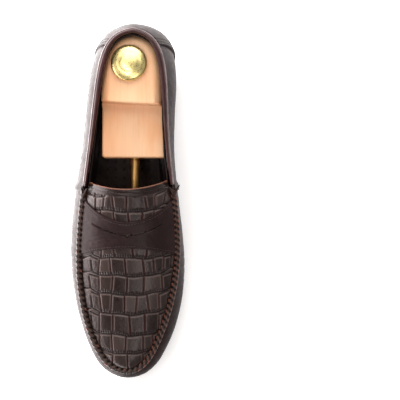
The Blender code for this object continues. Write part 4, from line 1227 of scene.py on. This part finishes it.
def build_tree():
    build_heel_block()
    top = BLOCK_TOP
    r = KNOB_RADIUS
    profile = [
        (0, 52), (3.3, 52), (3.5, 52.3), (3.5, top + 1.6), (8.0, top + 1.6), (r - 1.1, top + 1.9),
        (r - 0.4, top + 2.3), (r, top + 3.0), (r, top + 3.7), (r - 0.4, top + 4.4), (r - 1.1, top + 5.0),
    ]
    dome = [
        (radius, top + 5.0 + DOME_HEIGHT * (1 - (radius / (r - 1.1)) ** 2) ** DOME_FULLNESS)
        for radius in np.linspace(r - 1.25, 0.0, 34)
    ]
    dome = [(radius, z - 0.20 * math.exp(-(((radius - 8.2) / 1.6) ** 2))) for radius, z in dome]
    finish_piece(
        turned("knob_brass", profile + dome, (KNOB_X, KNOB_Y, 0), BRASS,
            "tree_heel"), "tree_brass", "tree_knob"
    )
    rings = (
        ("washer_brass", "tree_knob_washer", "tree_heel", "Z", (KNOB_X, KNOB_Y, top), (3.9, 7.5, 0.3, 1.2)),
        ("ferrule_brass", "tree_ferrule", "tree_heel", "Y", (TREE_X, 0, TREE_Z),
            (4.3, 7.9, BLOCK_FRONT - 0.7, BLOCK_FRONT + 1.1)),
        ("rear_tube_brass", "tree_rear_tube", "tree_heel", "Y", (TREE_X, 0, TREE_Z), (3.3, 4.0, -14.0, 61.0)),
        ("front_collar_brass", "tree_front_collar", "shoe", "Y", (TREE_X, 0, TREE_Z), (5.3, 7.6, -7.6, -5.8)),
    )
    for name, cad, body, axis, place, (inner, outer, low, high) in rings:
        c = 0.25
        profile = [
            (inner, low), (outer - c, low), (outer, low + c), (outer, high - c), (outer - c, high), (inner,
                high)
        ]
        finish_piece(turned(name, profile, place, TUBE_BRASS_PAINTED_SHADE, body, axis), "tree_brass", cad)
    tube = [(4.35, -56.5), (4.35, -1), (4.8, -1), (5, -1.2), (5, -57.8), (4.8, -58), (0, -58), (0, -56.5)]
    finish_piece(
        turned("front_tube_brass", tube, (TREE_X, 0, TREE_Z), TUBE_BRASS_PAINTED_SHADE, "shoe",
            "Y"), "tree_brass", "tree_front_tube"
    )
    softened("tree_forepart_main", "forepart_main_wood", 1.6, WOOD, "shoe", "tree_wood")
    softened("tree_forepart_wing", "forepart_wing_wood", 1.6, WOOD, "tree_wing", "tree_wood")


def build_springs():
    """Each coil spring is a copy of its CAD solid, in spring steel."""
    for node_name, name, body, axis, moving_end in (
        ("tree_spring", "main_spring_steel", "tree_heel", 1, 1),
        ("tree_side_spring_1", "side_spring_steel_1", "tree_wing", 0, 0),
        ("tree_side_spring_2", "side_spring_steel_2", "tree_wing", 0, 0),
    ):
        made = bpy.data.objects.new(name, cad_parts[node_name].data.copy())
        made.data.materials.clear()
        made.data.materials.append(STEEL)
        bpy.context.scene.collection.objects.link(made)
        made.matrix_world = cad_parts[node_name].matrix_world
        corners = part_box(node_name)
        fixed, moving = (corners[0] + corners[1]) / 2, (corners[0] + corners[1]) / 2
        fixed[axis], moving[axis] = corners[1 - moving_end][axis], corners[moving_end][axis]
        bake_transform(made)
        finish_piece(made, "spring_steel", node_name)


CAD_LOOKS = {
    "shank": STEEL, "insole_board": LINING, "heel_stiffener": BOARD,
    "tree_guide_pin_1": STEEL, "tree_guide_pin_2": STEEL,
    "heel_nail_1": TUBE_BRASS_PAINTED_SHADE, "heel_nail_2": TUBE_BRASS_PAINTED_SHADE, "heel_nail_3": TUBE_BRASS_PAINTED_SHADE,
    "heel_nail_4": TUBE_BRASS_PAINTED_SHADE, "heel_nail_5": TUBE_BRASS_PAINTED_SHADE,
}


def build():
    build_stage()
    build_apron()
    build_quarters()
    build_counter()
    build_vamp()
    build_strap()
    build_seam()
    build_seam_tabs()
    build_binding()
    build_linings()
    build_bottom()
    build_tree()
    build_springs()
    for name, look in CAD_LOOKS.items():
        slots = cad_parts[name].material_slots
        for slot in slots:
            slot.material = look


build()
